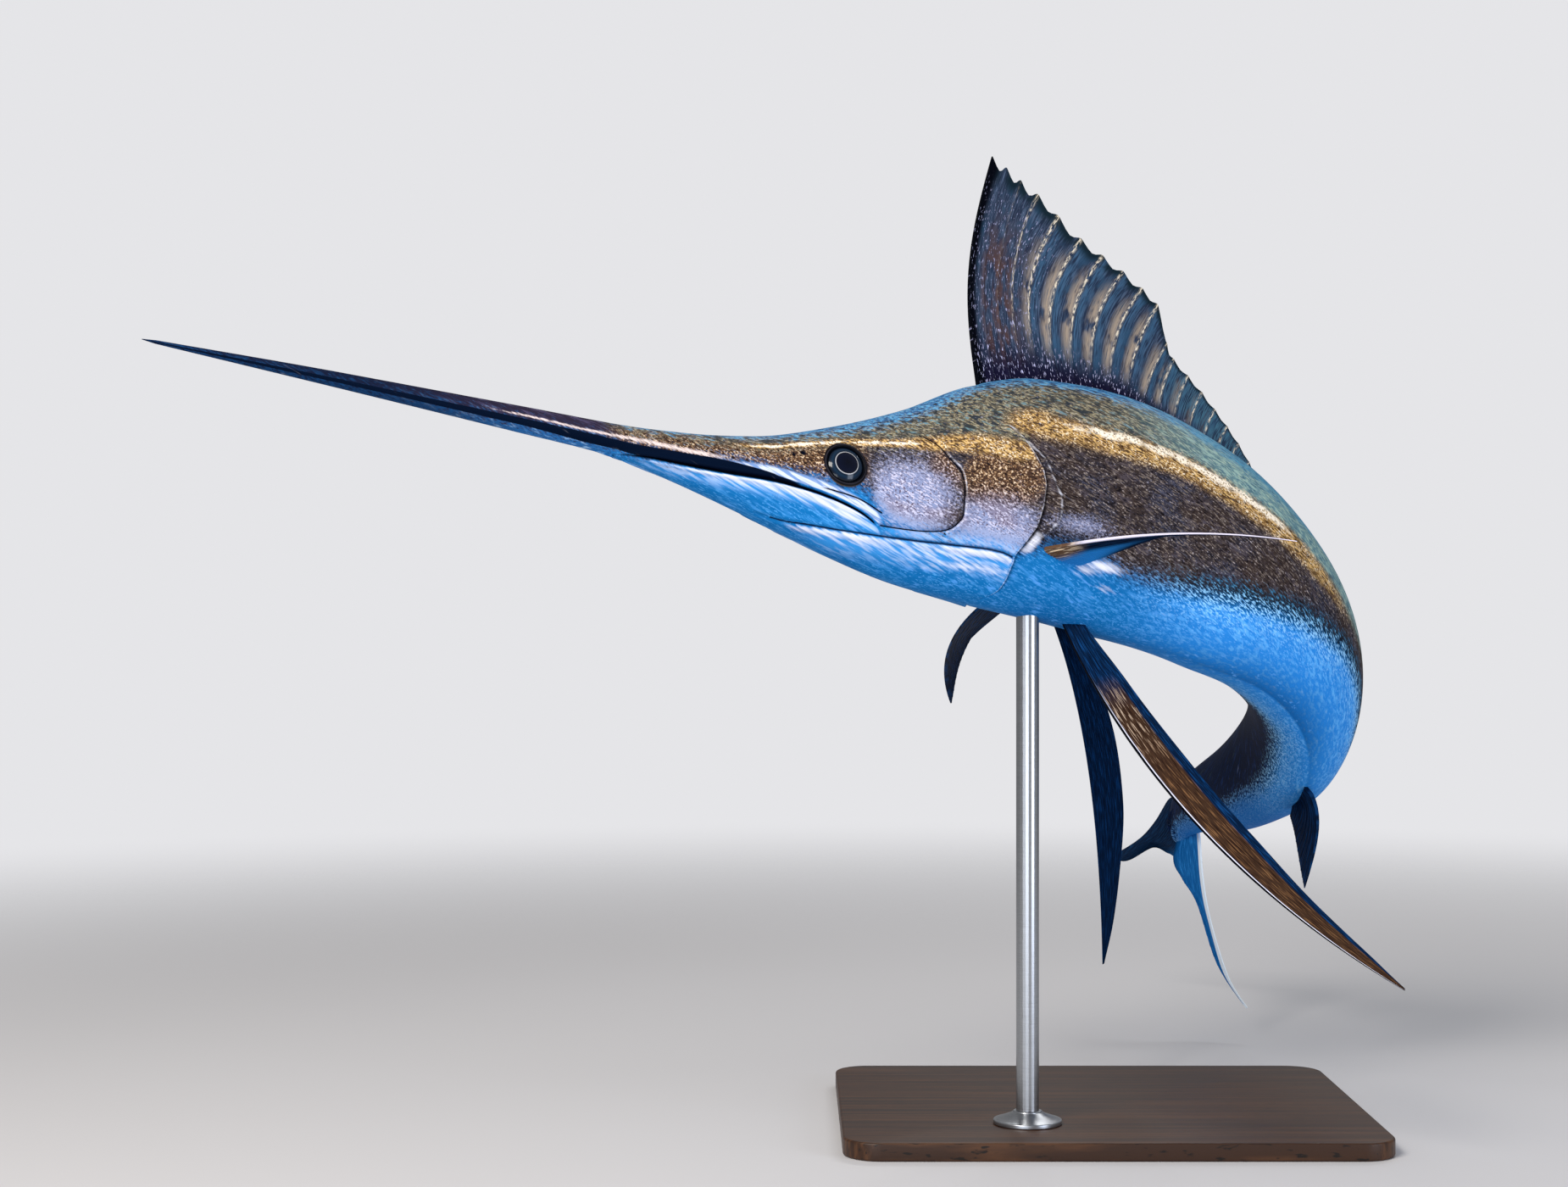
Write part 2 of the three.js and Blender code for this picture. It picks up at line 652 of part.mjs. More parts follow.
// The rod runs up into the body and is cut there; its lowest piece is what stays
function standRod() {
  const low = BASE.thick + GAP + FOOT.height + GAP;
  const high = GILL.z + backAt(0) / 2;
  const geometry = new THREE.CylinderGeometry(ROD.radius, ROD.radius, high - low, 24).rotateX(Math.PI / 2);
  const rod = solidOf(geometry.translate(ROD.x, ROD.y, (low + high) / 2)).subtract(bodyCutter);
  const foot = (piece) => piece.boundingBox().min[2];
  return rod.decompose().sort((a, b) => foot(a) - foot(b))[0];
}

// Finishes
const finish = (color, roughness, metalness = 0) => (
  new THREE.MeshStandardMaterial({ color, roughness, metalness }));
const bronze = finish('#7d6a52', 0.35, 0.3);
const silver = finish('#a9aec6', 0.3, 0.4);
const blue = finish('#3f7fc4', 0.35, 0.1);
const navy = finish('#232a4a', 0.45);
const eyeBlack = finish('#0b0e18', 0.08);
const wood = finish('#3b2a1f', 0.4);
const steel = finish('#a8abb0', 0.35, 1);

const marlin = new THREE.Group();

function place(name, solid, material) {
  const mesh = new THREE.Mesh(geometryOf(solid), material);
  mesh.name = name;
  marlin.add(mesh);
}

const { skull, bill, lowerJaw, covers } = headPieces();
place('bill', bill, bronze);
place('head', skull, bronze);
place('lower_jaw', lowerJaw, blue);
sides.forEach(([name, side], i) => {
  place(`gill_cover_${name}`, covers[i], silver);
  place(`eye_${name}`, lens(EYE, side, 0), eyeBlack);
  place(`pectoral_fin_${name}`, pairedFin(PECTORALS[name], side, 14), navy);
  place(`pelvic_fin_${name}`, pairedFin(PELVICS[name], side, 12), navy);
});
place('trunk_front', bodySolid(HEAD_END, FRONT_END), bronze);
place('trunk_middle', bodySolid(FRONT_END, MIDDLE_END), blue);
place('trunk_rear', bodySolid(MIDDLE_END, REAR_END), blue);
const keels = sides.flatMap(([, side]) => KEEL.angles.map((angle) => keel(side, angle)));
place('tail_stalk', keels.reduce((sum, one) => sum.add(one), bodySolid(REAR_END, TRUNK + 1)), blue);
place('dorsal_fin', ridgeFin(DORSAL), navy);
place('second_dorsal_fin', ridgeFin(SECOND_DORSAL), navy);
place('anal_fin', ridgeFin(ANAL), navy);
place('second_anal_fin', ridgeFin(SECOND_ANAL), navy);
place('tail_fin_upper', tailLobe(LOBES.upper), blue);
place('tail_fin_lower', tailLobe(LOBES.lower), blue);
place('stand_base', basePlate(), wood);
place('stand_foot', standFoot(), steel);
place('stand_rod', standRod(), steel);

export default marlin;
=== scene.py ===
# %% [markdown]
# # A leaping marlin on a display stand
# The object is a life-size museum model of a marlin that leaps and bends its tail round. The frame below
# already holds its plain solids. This lesson dresses them: one skin over the body, eyes, fins with fine
# rays, and the stand's finishes. Every form is a formula over two shares, worked out with numpy.

# %% Load the frame
import math

import bpy
import numpy as np
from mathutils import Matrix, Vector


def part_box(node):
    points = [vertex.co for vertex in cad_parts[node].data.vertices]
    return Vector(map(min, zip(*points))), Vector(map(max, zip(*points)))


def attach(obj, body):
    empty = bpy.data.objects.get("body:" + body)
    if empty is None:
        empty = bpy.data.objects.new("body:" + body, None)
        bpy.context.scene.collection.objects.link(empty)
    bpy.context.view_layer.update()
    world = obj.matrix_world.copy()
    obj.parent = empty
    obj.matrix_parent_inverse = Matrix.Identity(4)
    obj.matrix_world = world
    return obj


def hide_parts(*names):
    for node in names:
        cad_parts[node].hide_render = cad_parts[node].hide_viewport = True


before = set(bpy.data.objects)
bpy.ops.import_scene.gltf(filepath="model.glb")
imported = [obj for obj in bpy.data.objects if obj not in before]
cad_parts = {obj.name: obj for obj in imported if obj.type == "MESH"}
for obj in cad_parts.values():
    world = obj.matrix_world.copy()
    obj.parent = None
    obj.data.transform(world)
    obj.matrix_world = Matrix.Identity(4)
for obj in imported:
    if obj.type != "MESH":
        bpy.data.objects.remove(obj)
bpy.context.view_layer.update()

# %% [markdown]
# ## Small helpers
# Lengths below are millimetres, as in the solids, and one factor turns them to Blender's metres.
# Two soft shapes build almost every mark and fold: a ramp, which rises once and stays, and a ridge, which
# rises and falls again. Another helper runs a smooth curve through a few knots. A spline that overshoots
# would put bumps between the knots, so this one limits its slopes.

# %% Ramps, ridges and curves through knots
MM = 0.001


def ramp(x, start, full):
    """0 at start, 1 at full, an even S between: 3t² − 2t³ of the share t of the way from start to full."""
    t = np.clip((x - start) / (full - start), 0, 1)
    return t * t * (3 - 2 * t)


def stretch(x, start, full, fade, end):
    """1 from full to fade: a ramp up to it from start, times a ramp down after it to end."""
    return ramp(x, start, full) * ramp(x, end, fade)


def ridge(x, width):
    """A rounded crest of height 1 at x = 0 that dies away on both sides: e to the −(x / width)²."""
    return np.exp(-(x / width) ** 2)


def through(knots, values):
    """A curve that keeps the rises and falls of its knots.

    Each stretch is a cubic. Its slope at a knot is a weighted harmonic mean of the slopes before
    and after, and 0 where the values turn round, so that the curve never overshoots.
    """
    x, y = np.asarray(knots, float), np.asarray(values, float)
    width = np.diff(x)
    slope = np.diff(y) / width
    before, after = slope[:-1], slope[1:]
    near, far = 2 * width[1:] + width[:-1], width[1:] + 2 * width[:-1]
    level = before * after <= 0
    mean = (near + far) / (near / np.where(level, 1, before) + far / np.where(level, 1, after))
    tangent = np.concatenate([slope[:1], np.where(level, 0, mean), slope[-1:]])

    def curve(at):
        at = np.clip(at, x[0], x[-1])
        i = np.clip(np.searchsorted(x, at, side="right") - 1, 0, len(x) - 2)
        t = (at - x[i]) / width[i]
        s = 1 - t
        rise = (1 + 2 * t) * s * s * y[i] + t * t * (3 - 2 * t) * y[i + 1]
        return rise + t * s * width[i] * (s * tangent[i] - t * tangent[i + 1])

    return curve


def unit(vectors):
    """Vectors divided by their lengths."""
    return vectors / np.linalg.norm(vectors, axis=-1, keepdims=True)


def circle(count):
    """Points of a circle of radius 1: the cosine and the sine of even steps of a full turn."""
    turn = np.arange(count) * 2 * np.pi / count
    return np.stack([np.cos(turn), np.sin(turn)], -1)


print("half way up, a ramp is", ramp(0.5, 0, 1), "and one width off, a ridge is", round(ridge(1, 1), 2))

# %% [markdown]
# ## The spine
# A leaping fish is a bent tube. Placing every part in the room by hand would break it, so the whole body is
# described along its spine instead. Stations count millimetres from the gill opening, toward the bill as
# negative numbers. At each station the spine has a point and three ways: to the tail, to the fish's left
# and up its back. They turn a little at every step, as a tangent frame on a swept curve does.

# %% Walk along the spine
# How far the bill reaches past the lower jaw, the jaw past the gill opening, and the trunk behind it
BILL, JAW, TRUNK = 540, 585, 1205
GILL = np.array([-88.0, -100.0, 776.0])
HEADING, SLOPE, BANK = np.radians([28.4, 8, 14.6])
STEP = 10

# How the trunk bends behind the gills, in degrees for each 100 mm
BEND_AT = [0, 140, 318, 508, 686, 876, 1054, TRUNK]
BEND_SIDE = [-1.5, 1.7, 9.9, 18.8, 8.4, -1.4, -1.2, 0]
BEND_DOWN = [2.8, 5.6, 5.8, -1.4, -8.7, -6.9, 9.8, 58]
BEND_ROLL = [0.9, -2.8, -4.5, -3.6, -4.5, -5, -2.3, 4]


def turned(vector, axis, angle):
    """A vector turned about an axis, by the sum of its parts along, across and square to that axis."""
    part = axis * np.dot(axis, vector)
    return part + (vector - part) * math.cos(angle) + np.cross(axis, vector) * math.sin(angle)


def walk_spine():
    """Points and ways from the gills to the tail. Each step turns the ways by the bends at its middle."""
    bends = [through(BEND_AT, bend) for bend in (BEND_SIDE, BEND_DOWN, BEND_ROLL)]
    tail = np.array([math.cos(HEADING) * math.cos(SLOPE), math.sin(HEADING) * math.cos(SLOPE),
                     -math.sin(SLOPE)])
    left = turned(np.array([math.sin(HEADING), -math.cos(HEADING), 0]), tail, -BANK)
    at = GILL.copy()
    walk = [(at, tail, left)]
    for middle in np.arange(STEP / 2, TRUNK, STEP):
        side, down, roll = (math.radians(bend(middle)) * STEP / 100 for bend in bends)
        turn = np.cross(left, tail) * side - left * down + tail * roll
        angle = np.linalg.norm(turn)
        after = turned(tail, turn / angle, angle)
        left = turned(left, turn / angle, angle)
        at = at + unit(tail + after) * STEP
        tail = after
        walk.append((at, tail, left))
    return [np.array(part) for part in zip(*walk)]


SPINE_AT, SPINE_TAIL, SPINE_LEFT = walk_spine()
LAST_STEP = len(SPINE_AT) - 1.001


def frame_at(station):
    """Point, way to the tail, way left and way up at stations, straight on beyond both ends."""
    x = np.clip(np.asarray(station, float) / STEP, 0, LAST_STEP)
    i = x.astype(int)
    mix = (x - i)[..., None]
    tail = unit(SPINE_TAIL[i] * (1 - mix) + SPINE_TAIL[i + 1] * mix)
    left = SPINE_LEFT[i] * (1 - mix) + SPINE_LEFT[i + 1] * mix
    left = unit(left - tail * (left * tail).sum(-1, keepdims=True))
    beyond = np.where(station < 0, station, np.maximum(0, station - TRUNK))[..., None]
    at = SPINE_AT[i] * (1 - mix) + SPINE_AT[i + 1] * mix + tail * beyond
    return at, tail, left, np.cross(left, tail)


print("the spine ends at", SPINE_AT[-1].round(), "mm, after", len(SPINE_AT) - 1, "steps")

# %% [markdown]
# ## The bare body
# The section of a marlin is an oval: a height above the spine, a depth below it and a half width, which all
# change along the fish. A point of the skin then needs only two numbers, its station and its angle round
# the body, from the back (0°) over the left flank to the belly (180°). Right-hand angles are negative.

# %% The oval sections
# Station, height of the back, height of the belly, half the width
OUTLINE = [
    (-JAW - BILL, 3.5, 0.5, 1.5), (-900, 6, -12, 8), (-700, 6, -24, 13), (-JAW, 5, -31, 19),
    (-500, 9, -49, 27), (-400, 22, -76, 38), (-300, 51, -106, 50), (-200, 90, -128, 63),
    (-100, 140, -138, 76), (0, 167, -144, 87), (110, 173, -150, 95), (260, 160, -150, 96),
    (400, 133, -134, 90), (530, 112, -119, 80), (670, 90, -103, 67), (810, 73, -78, 52),
    (950, 55, -63, 37), (1090, 37, -46, 27), (1150, 30, -34, 20), (TRUNK, 24, -25, 9),
]
stations, backs, bellies, widths = zip(*OUTLINE)
back_at, belly_at, width_at = (through(stations, part) for part in (backs, bellies, widths))
# Short steps, in millimetres along the fish and in radians round it, that measure the skin's slope
ALONG_STEP, ROUND_STEP = 1.0, 0.01


def section_point(station, across, height):
    """A point of the body's section: the spine's point, then so far to the left and so far up."""
    at, _, left, up = frame_at(station)
    return at + left * np.asarray(across)[..., None] + up * np.asarray(height)[..., None]


def skin_point(station, angle, share=1):
    """A point of the oval: half width times the sine to the left, half height times the cosine up."""
    back, belly = back_at(station), belly_at(station)
    height = (back + belly) / 2 + share * (back - belly) / 2 * np.cos(angle)
    return section_point(station, share * width_at(station) * np.sin(angle), height)


def skin_ways(station, angle):
    """Point, way along, way across and way out of the skin, from two short steps on it."""
    at = skin_point(station, angle)
    along = unit(skin_point(station + ALONG_STEP, angle) - at)
    out = unit(np.cross(skin_point(station, angle + ROUND_STEP) - at, along))
    return at, along, np.cross(out, along), out


def angle_of_height(station, height):
    """The angle at which the oval has a height above the spine: the arc cosine of its share."""
    back, belly = back_at(station), belly_at(station)
    return np.arccos(np.clip((2 * height - back - belly) / (back - belly), -1, 1))


print("the sections are up to", max(back - belly for back, belly in zip(backs, bellies)), "mm deep and",
      2 * max(widths), "mm wide")

# %% [markdown]
# ## Lines on the skin
# A marlin's head has few but sharp lines: the long mouth, the rear edge of the upper jaw bone, the crease of
# the cheek plate, the gill cover's edge and the folds of the throat. Each is a short list of places on the
# skin, station and angle, with a smooth curve through them. How far every point of the skin lies from such a
# line then drives both the relief and the colour, so that paint and fold always agree.

# %% Where the lines of the head run
# The mouth: station, height above the spine
MOUTH = [(-630, -38), (-580, -31.5), (-540, -33), (-500, -36), (-450, -38.5), (-400, -40), (-350, -46),
         (-300, -58), (-262, -75), (-240, -100)]
MOUTH_CORNER = -262
EYE = {"station": -303, "angle": 77, "radius": 25, "bulge": 13, "depth": 6}

CHEEK_CREASE = [(-204, 55), (-183, 64), (-168, 76), (-153, 87), (-150, 98), (-150, 110), (-156, 115),
                (-171, 120), (-195, 122), (-225, 123), (-255, 124)]
GILL_EDGE = [(-117, 62), (-84, 64), (-69, 70), (-54, 80), (-45, 87), (-42, 94), (-45, 104), (-51, 114),
             (-63, 122), (-75, 130), (-78, 146), (-81, 154), (-90, 162), (-99, 170)]
SHOULDER = [(-84, 62), (-57, 75), (-42, 82), (-30, 93), (-21, 101), (-21, 108), (-33, 115), (-54, 123)]
UPPER_JAW_BONE = [(-390, 98), (-336, 101), (-291, 105), (-255, 114)]
JAW_SEAM = [(-402, 166), (-369, 157), (-343, 147), (-304, 139), (-256, 133), (-211, 130), (-166, 129),
            (-121, 129), (-91, 130), (-78, 132)]
THROAT_FOLDS = [
    [(-180, 132), (-142, 135), (-109, 136), (-80, 136)],
    [(-211, 132), (-172, 138), (-127, 141), (-79, 141)],
    [(-229, 134), (-205, 142), (-178, 147), (-142, 154), (-97, 158)],
    [(-247, 134), (-214, 141), (-178, 150), (-150, 158)],
    [(-259, 139), (-238, 147), (-208, 154), (-178, 161)],
    [(-285, 146), (-262, 153), (-235, 161)],
]
FOLD_LINES = {"cheek": [CHEEK_CREASE], "shoulder": [SHOULDER], "bone": [UPPER_JAW_BONE],
              "seam": [JAW_SEAM], "throat": THROAT_FOLDS}


def skin_line(knots, count=48):
    """A line on the bare skin through its knots, as two rows of points: left flank and right flank."""
    station, angle = np.array(knots, float).T
    run = np.concatenate([[0], np.cumsum(np.hypot(np.diff(station), 2 * np.diff(angle)))])
    t = np.linspace(0, run[-1], count)
    s, a = through(run, station)(t), np.radians(through(run, angle)(t))
    return [skin_point(s, a), skin_point(s, -a)]


def distance_to(points, lines):
    """Distance to the nearest line: to the foot of a perpendicular on each stretch, kept within its ends."""
    best = np.full(points.shape[:-1], np.inf)
    for line in lines:
        for start, end in zip(line[:-1], line[1:]):
            way = end - start
            share = np.clip((points - start) @ way / (way @ way), 0, 1)
            gap = points - start - share[..., None] * way
            best = np.minimum(best, (gap * gap).sum(-1))
    return np.sqrt(best)


print("besides the mouth and the gill edge, each flank has", sum(map(len, FOLD_LINES.values())), "lines")

# %% [markdown]
# ## A grid that follows the head
# The skin is one closed grid of rings and columns. An even grid fine enough for a 1 mm crease would have
# millions of faces. Here the rings bunch up where folds are, and they bend to run along the cheek crease
# and the gill edge. The columns bunch up along the mouth. The creases then come out crisp at about
# 200,000 triangles, with no sculpting.

# %% How rings and columns bunch up
RING_KNOTS = [-1125, -620, -590, -330, -190, -175, -155, -140, -75, -66, -54, -46, 40, 150, 1100, TRUNK]
RING_GAPS = [15, 8, 2.4, 2.1, 2, 0.9, 0.9, 1.8, 1.6, 0.6, 0.6, 1.6, 4.4, 11, 9, 7]
COLUMNS = 198

# The angle along which the columns crowd, and how strongly
CROWD_AT = [-1125, -600, -579, -543, -501, -456, -414, -369, -306, -262, -230, -180, -100, 0, 200, TRUNK]
CROWD_LINE = [100, 112, 160, 141, 126, 115, 106, 105, 112, 122, 126, 127, 126, 120, 112, 90]
CROWD_SHARE = [0.3, 0.5, 0.75, 0.8, 0.8, 0.8, 0.8, 0.8, 0.8, 0.75, 0.7, 0.65, 0.6, 0.35, 0.3, 0.3]

# The rings that lean along the cheek crease and the gill edge, their lines, and where the leaning ends
CHEEK_RING, GILL_RING, LEAN_FROM, LEAN_TO = -165, -60, -330, 90
CHEEK_LEAN = [(-204, 45), (-198, 57), *CHEEK_CREASE[1:6], (-160, 122), (-165, 180)]
GILL_LEAN = [(-100, 45), *GILL_EDGE[1:11], (-90, 162), (-99, 180)]


def spaced(knots, gaps, samples=8000):
    """Numbers whose spacing changes evenly from gap to gap: equal steps of the running sum of 1 / gap."""
    fine = np.linspace(knots[0], knots[-1], samples)
    count = np.cumsum(np.diff(fine) / np.interp(fine[1:], knots, gaps))
    return np.interp(np.linspace(0, count[-1], round(count[-1]) + 1), np.append(0, count), fine)


def crowded(even, line, share):
    """Angles that crowd at a line: on either side a cubic (1 − share) t + share t³ of the way t."""
    span = np.where(even < line, line, np.pi - line)
    t = np.abs(even - line) / span
    return line + np.sign(even - line) * span * ((1 - share) * t + share * t ** 3)


def bent_rings(ring, angle):
    """Stations of rings: each plus how far the two lines stray from their rings, less with distance."""
    degrees = np.degrees(np.abs(angle))
    bent = ring
    for line, own_ring, fade in ((CHEEK_LEAN, CHEEK_RING, [LEAN_FROM, CHEEK_RING, GILL_RING]),
                                 (GILL_LEAN, GILL_RING, [CHEEK_RING, GILL_RING, LEAN_TO])):
        places, down = zip(*line)
        bent = bent + (through(down, places)(degrees) - own_ring) * np.interp(ring, fade, [0, 1, 0])
    return bent


print("the rings lie", min(RING_GAPS), "to", max(RING_GAPS), "mm apart")

# %% Lay out rings and columns
rings = spaced(RING_KNOTS, RING_GAPS)
even = (np.arange(COLUMNS) + 0.5) * 2 * np.pi / COLUMNS - np.pi
crowd_line = np.radians(through(CROWD_AT, CROWD_LINE)(rings))[:, None]
crowd_share = np.interp(rings, CROWD_AT, CROWD_SHARE)[:, None]
angles = np.sign(even) * crowded(np.abs(even), crowd_line, crowd_share)
station = bent_rings(rings[:, None], angles)
print("the skin has", len(rings), "rings of", COLUMNS, "points")

# %% [markdown]
# ## Folds, lids and keels
# The real head is skin stretched over thin bone plates, so its relief is low: a groove at the mouth with
# rounded lips, a gill cover that stands a few millimetres proud and drops sharply into the slit, a ridge
# behind it, soft folds on the throat, a socket, two nostrils, and low keels on the tail stalk. All of it is
# one height, in millimetres, along the skin's outward way. Sculpting or a displacement texture would also
# do it, but a sum of ramps and ridges keeps every fold at a named place.

# %% Measure every point of the skin
FAR = 1000
HEAD_END = 60
bare, _, _, out = skin_ways(station, angles)
side = np.sign(angles)
down = np.degrees(np.abs(angles))
round_way = skin_point(station, np.abs(angles) + ROUND_STEP) - skin_point(station, np.abs(angles))
girth = np.linalg.norm(round_way, axis=-1) / ROUND_STEP


def below(degrees):
    """How far below an angle a point of the skin lies, in millimetres: the angle between times the girth."""
    return np.radians(down - degrees) * girth


def behind(line):
    """How far behind a line of (station, angle) knots a point lies, in millimetres along the fish."""
    places, degrees = zip(*line)
    return station - np.interp(down, degrees, places)


mouth_off = below(np.degrees(angle_of_height(station, through(*zip(*MOUTH))(station))))
behind_gill = behind(GILL_EDGE)
behind_cheek = behind(CHEEK_CREASE[:8])
head = rings < HEAD_END
distance = {}
for name, lines in FOLD_LINES.items():
    distance[name] = np.full(station.shape, float(FAR))
    distance[name][head] = distance_to(bare[head], [flank for line in lines for flank in skin_line(line)])
print("round the gills, a degree of skin is", round(float(girth.max() * math.radians(1)), 1), "mm")

# %% Folds of the head
in_mouth = stretch(station, -606, -584, MOUTH_CORNER - 4, MOUTH_CORNER + 5)
gape = through([-600, -540, -450, -400, -350, -300, -262], [0.8, 1.1, 1.9, 2, 1.7, 1.3, 1])(station)
on_cover = stretch(down, 59, 67, 160, 172)
cover_share = np.clip(behind_cheek / (behind_cheek - behind_gill + 1e-9), 0, 1)
cover = on_cover * ramp(behind_cheek, -2, 4) * ramp(behind_gill, 0.6, -0.9) * ramp(station, -200, -165)
relief = (
    -6.5 * in_mouth * ridge(mouth_off, gape)
    + 1.5 * in_mouth * (ridge(mouth_off - gape - 3, 2.4) + ridge(mouth_off + gape + 3, 2.4))
    - 1.4 * ridge(distance["bone"], 1.3)
    - 1.5 * ridge(distance["seam"], 1.8)
    + 0.9 * ridge(distance["seam"] - 5, 3)
    - 1.0 * ridge(distance["throat"], 2)
    - 1.8 * ridge(distance["cheek"], 1.3)
    + 1.0 * ridge(distance["cheek"] - 5, 3.5)
    + cover * (0.8 + 2.8 * cover_share ** 2)
    - 2.6 * on_cover * ridge(behind_gill - 2.2, 1.6)
    + 2.4 * ridge(distance["shoulder"], 6)
)
print("the relief so far runs from", round(relief.min(), 1), "to", round(relief.max(), 1), "mm")

# %% Add the sockets, nostrils, keels and the groove under the back fin
# Nostrils: station, angle and radius. Keels: their angles, their middle station and half their length
NOSTRILS = ((-354, 63, 3.2), (-366, 66, 2.2))
KEEL_ANGLES, KEEL_MIDDLE, KEEL_HALF = (76, 104), 1162, 36
NEAR_EYE = 60
eye_frame = {}
socket = np.full(station.shape, float(FAR))
nostril = np.zeros(station.shape)
for flank in (1, -1):
    eye_frame[flank] = skin_ways(np.array(EYE["station"]), np.array(flank * math.radians(EYE["angle"])))
    eye_at, eye_along, eye_across, _ = eye_frame[flank]
    gap = bare - eye_at
    near = (np.linalg.norm(gap, axis=-1) < NEAR_EYE) & (side == flank)
    socket = np.where(near, np.hypot(gap @ eye_along, gap @ eye_across), socket)
    for place, angle, radius in NOSTRILS:
        gap = bare - skin_point(np.array(place), np.array(flank * math.radians(angle)))
        nostril = np.maximum(nostril, ridge(np.linalg.norm(gap, axis=-1), radius))

keel_rise = np.sqrt(np.clip(1 - ((station - KEEL_MIDDLE) / KEEL_HALF) ** 2, 0, 1))
keel = keel_rise * np.maximum(*(ridge(below(angle), 2.2) for angle in KEEL_ANGLES))
by_fin = stretch(station, -90, -78, 380, 400)
brow = below(np.interp(station, [-420, -360, -300, -198, -100], [50, 52, 50, 57, 57]))
relief = (
    relief * ramp(socket, 20, 29)
    - 9 * ramp(socket, 25, 21.5)
    + 1.8 * ridge(socket - 27.5, 2.6)
    - 3.5 * nostril
    + 5.5 * keel
    + by_fin * (1.6 * ridge(below(0) - 9, 4) - 1.2 * ridge(below(0), 4))
    + 1.6 * ridge(brow, 7) * stretch(station, -420, -360, -180, -110)
)
skin = bare + out * relief[..., None]
print("the socket is", round(-relief.min(), 1), "mm deep")

# %% [markdown]
# ## From arrays to meshes
# A grid of points becomes a mesh by joining neighbours with quads. Every piece goes through one function:
# it scales millimetres to metres, turns faces outward (by the sign of the volume they enclose), stores the
# marks as attributes for the paint, and tells the frame what the piece rides on and stands for. Skin, eyes
# and stand are all rings that close on a point at either end, so they share a second function.

# %% Faces, and makers of pieces


def grid_faces(rows, columns, around=False):
    """Quads between neighbours of a grid, and also from the last column back to the first if around."""
    i = np.arange(columns if around else columns - 1)
    j = np.arange(rows - 1)[:, None] * columns
    after = (i + 1) % columns
    corners = np.broadcast_arrays(j + i, j + after, j + columns + after, j + columns + i)
    return np.stack(corners, -1).reshape(-1, 4)


def fans(rows, columns):
    """Triangles from two pole points, which follow the grid's, to its first and to its last ring."""
    i = np.arange(columns)
    after = (i + 1) % columns
    far, pole = (rows - 1) * columns, rows * columns
    start = np.stack([after, i, np.full(columns, pole)], -1)
    end = np.stack([far + i, far + after, np.full(columns, pole + 1)], -1)
    return np.concatenate([start, end])


def volume(points, faces):
    """Volume inside the faces: a sixth of the sum of the box products of each triangle's corners."""
    total = 0
    for k in range(1, faces.shape[1] - 1):
        a, b, c = points[faces[:, 0]], points[faces[:, k]], points[faces[:, k + 1]]
        total += (a * np.cross(b, c)).sum() / 6
    return total


def make_piece(name, points, faces, material, slot, nodes, marks=None, crease=40):
    """A finished piece of the model from points in millimetres and lists of quads and triangles."""
    if sum(volume(points, part) for part in faces) < 0:
        faces = [part[:, ::-1] for part in faces]
    mesh = bpy.data.meshes.new(name)
    mesh.from_pydata((points * MM).tolist(), [], [face for part in faces for face in part.tolist()])
    for mark, values in (marks or {}).items():
        kind, field = ("FLOAT", "value") if values.ndim == 1 else ("FLOAT_VECTOR", "vector")
        layer = mesh.attributes.new(mark, kind, "POINT")
        layer.data.foreach_set(field, values.astype(np.float32).ravel())
    mesh.shade_smooth()
    mesh.set_sharp_from_angle(angle=math.radians(crease))
    mesh.materials.append(material)
    piece = bpy.data.objects.new(name, mesh)
    bpy.context.collection.objects.link(piece)
    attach(piece, "root")
    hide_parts(*nodes)
    print(name, "has", sum(len(part) * (part.shape[1] - 2) for part in faces), "triangles")


def make_rings(name, rings, poles, *rest, **options):
    """A piece from rings of points, an array of ring, column and place, closed on a pole at either end."""
    rows, columns, _ = rings.shape
    faces = [grid_faces(rows, columns, around=True), fans(rows, columns)]
    make_piece(name, np.concatenate([rings.reshape(-1, 3), poles]), faces, *rest, **options)


print("a tube of 3 rings of 4 points has", len(grid_faces(3, 4, around=True)), "quads and",
      len(fans(3, 4)), "triangles")

# %% [markdown]
# ## Marks for the paint
# A painter of fish models works in layers: a bronze flank, a gold band along its upper edge, partly the
# fish's gold and partly a painted highlight, a blue back line, a lilac cheek, a bright blue belly, and thin
# pale edges beside dark creases. The pale edges are partly the fish's own pale marks and partly painted
# highlights, and the dark creases are painted shade. Each layer gets a mask here, a number for every point of
# the skin. The shader later breaks the masks' edges up with small scales, which no point of the mesh has to
# carry.

# %% Lines between the colours, as angles along the fish
HEAD_BELLY = [(-1125, 131), (-620, 133), (-560, 126), (-500, 112), (-457, 94), (-415, 91), (-376, 91),
              (-340, 91), (-302, 92), (-279, 95), (-262, 107), (-240, 119), (-200, 122), (-156, 122),
              (-115, 125), (-80, 126), (-60, 125), (-21, 121), (33, 122), (90, 130), (144, 131)]
TAIL_BELLY = [(937, 121), (TRUNK, 117)]
LEFT_BELLY = [*HEAD_BELLY, (210, 129), (285, 125), (370, 120), (412, 117), (464, 113), (506, 113),
              (600, 122), (813, 124), *TAIL_BELLY]
# On the right flank, the inside of the bend, the belly line runs lower from about 300 to 800 mm: the dark
# flank there is painted shade.
RIGHT_BELLY = [*HEAD_BELLY, (210, 131), (285, 132), (370, 138), (433, 146), (516, 150), (597, 141),
               (687, 134), (813, 125), *TAIL_BELLY]
BACK_LINE = [(-600, 34), (-331, 34), (-266, 36), (-196, 34), (-135, 29), (-96, 25), (-56, 25), (-1, 30),
             (68, 34), (134, 39), (200, 47), (275, 53), (341, 57), (600, 64), (TRUNK, 64)]
BROW_LINE = [(-600, 64), (-480, 56), (-402, 56), (-359, 52), (-307, 52), (-274, 55), (-244, 58),
             (-211, 61.5), (-167, 66), (-127, 71), (-94, 75), (-77, 77)]
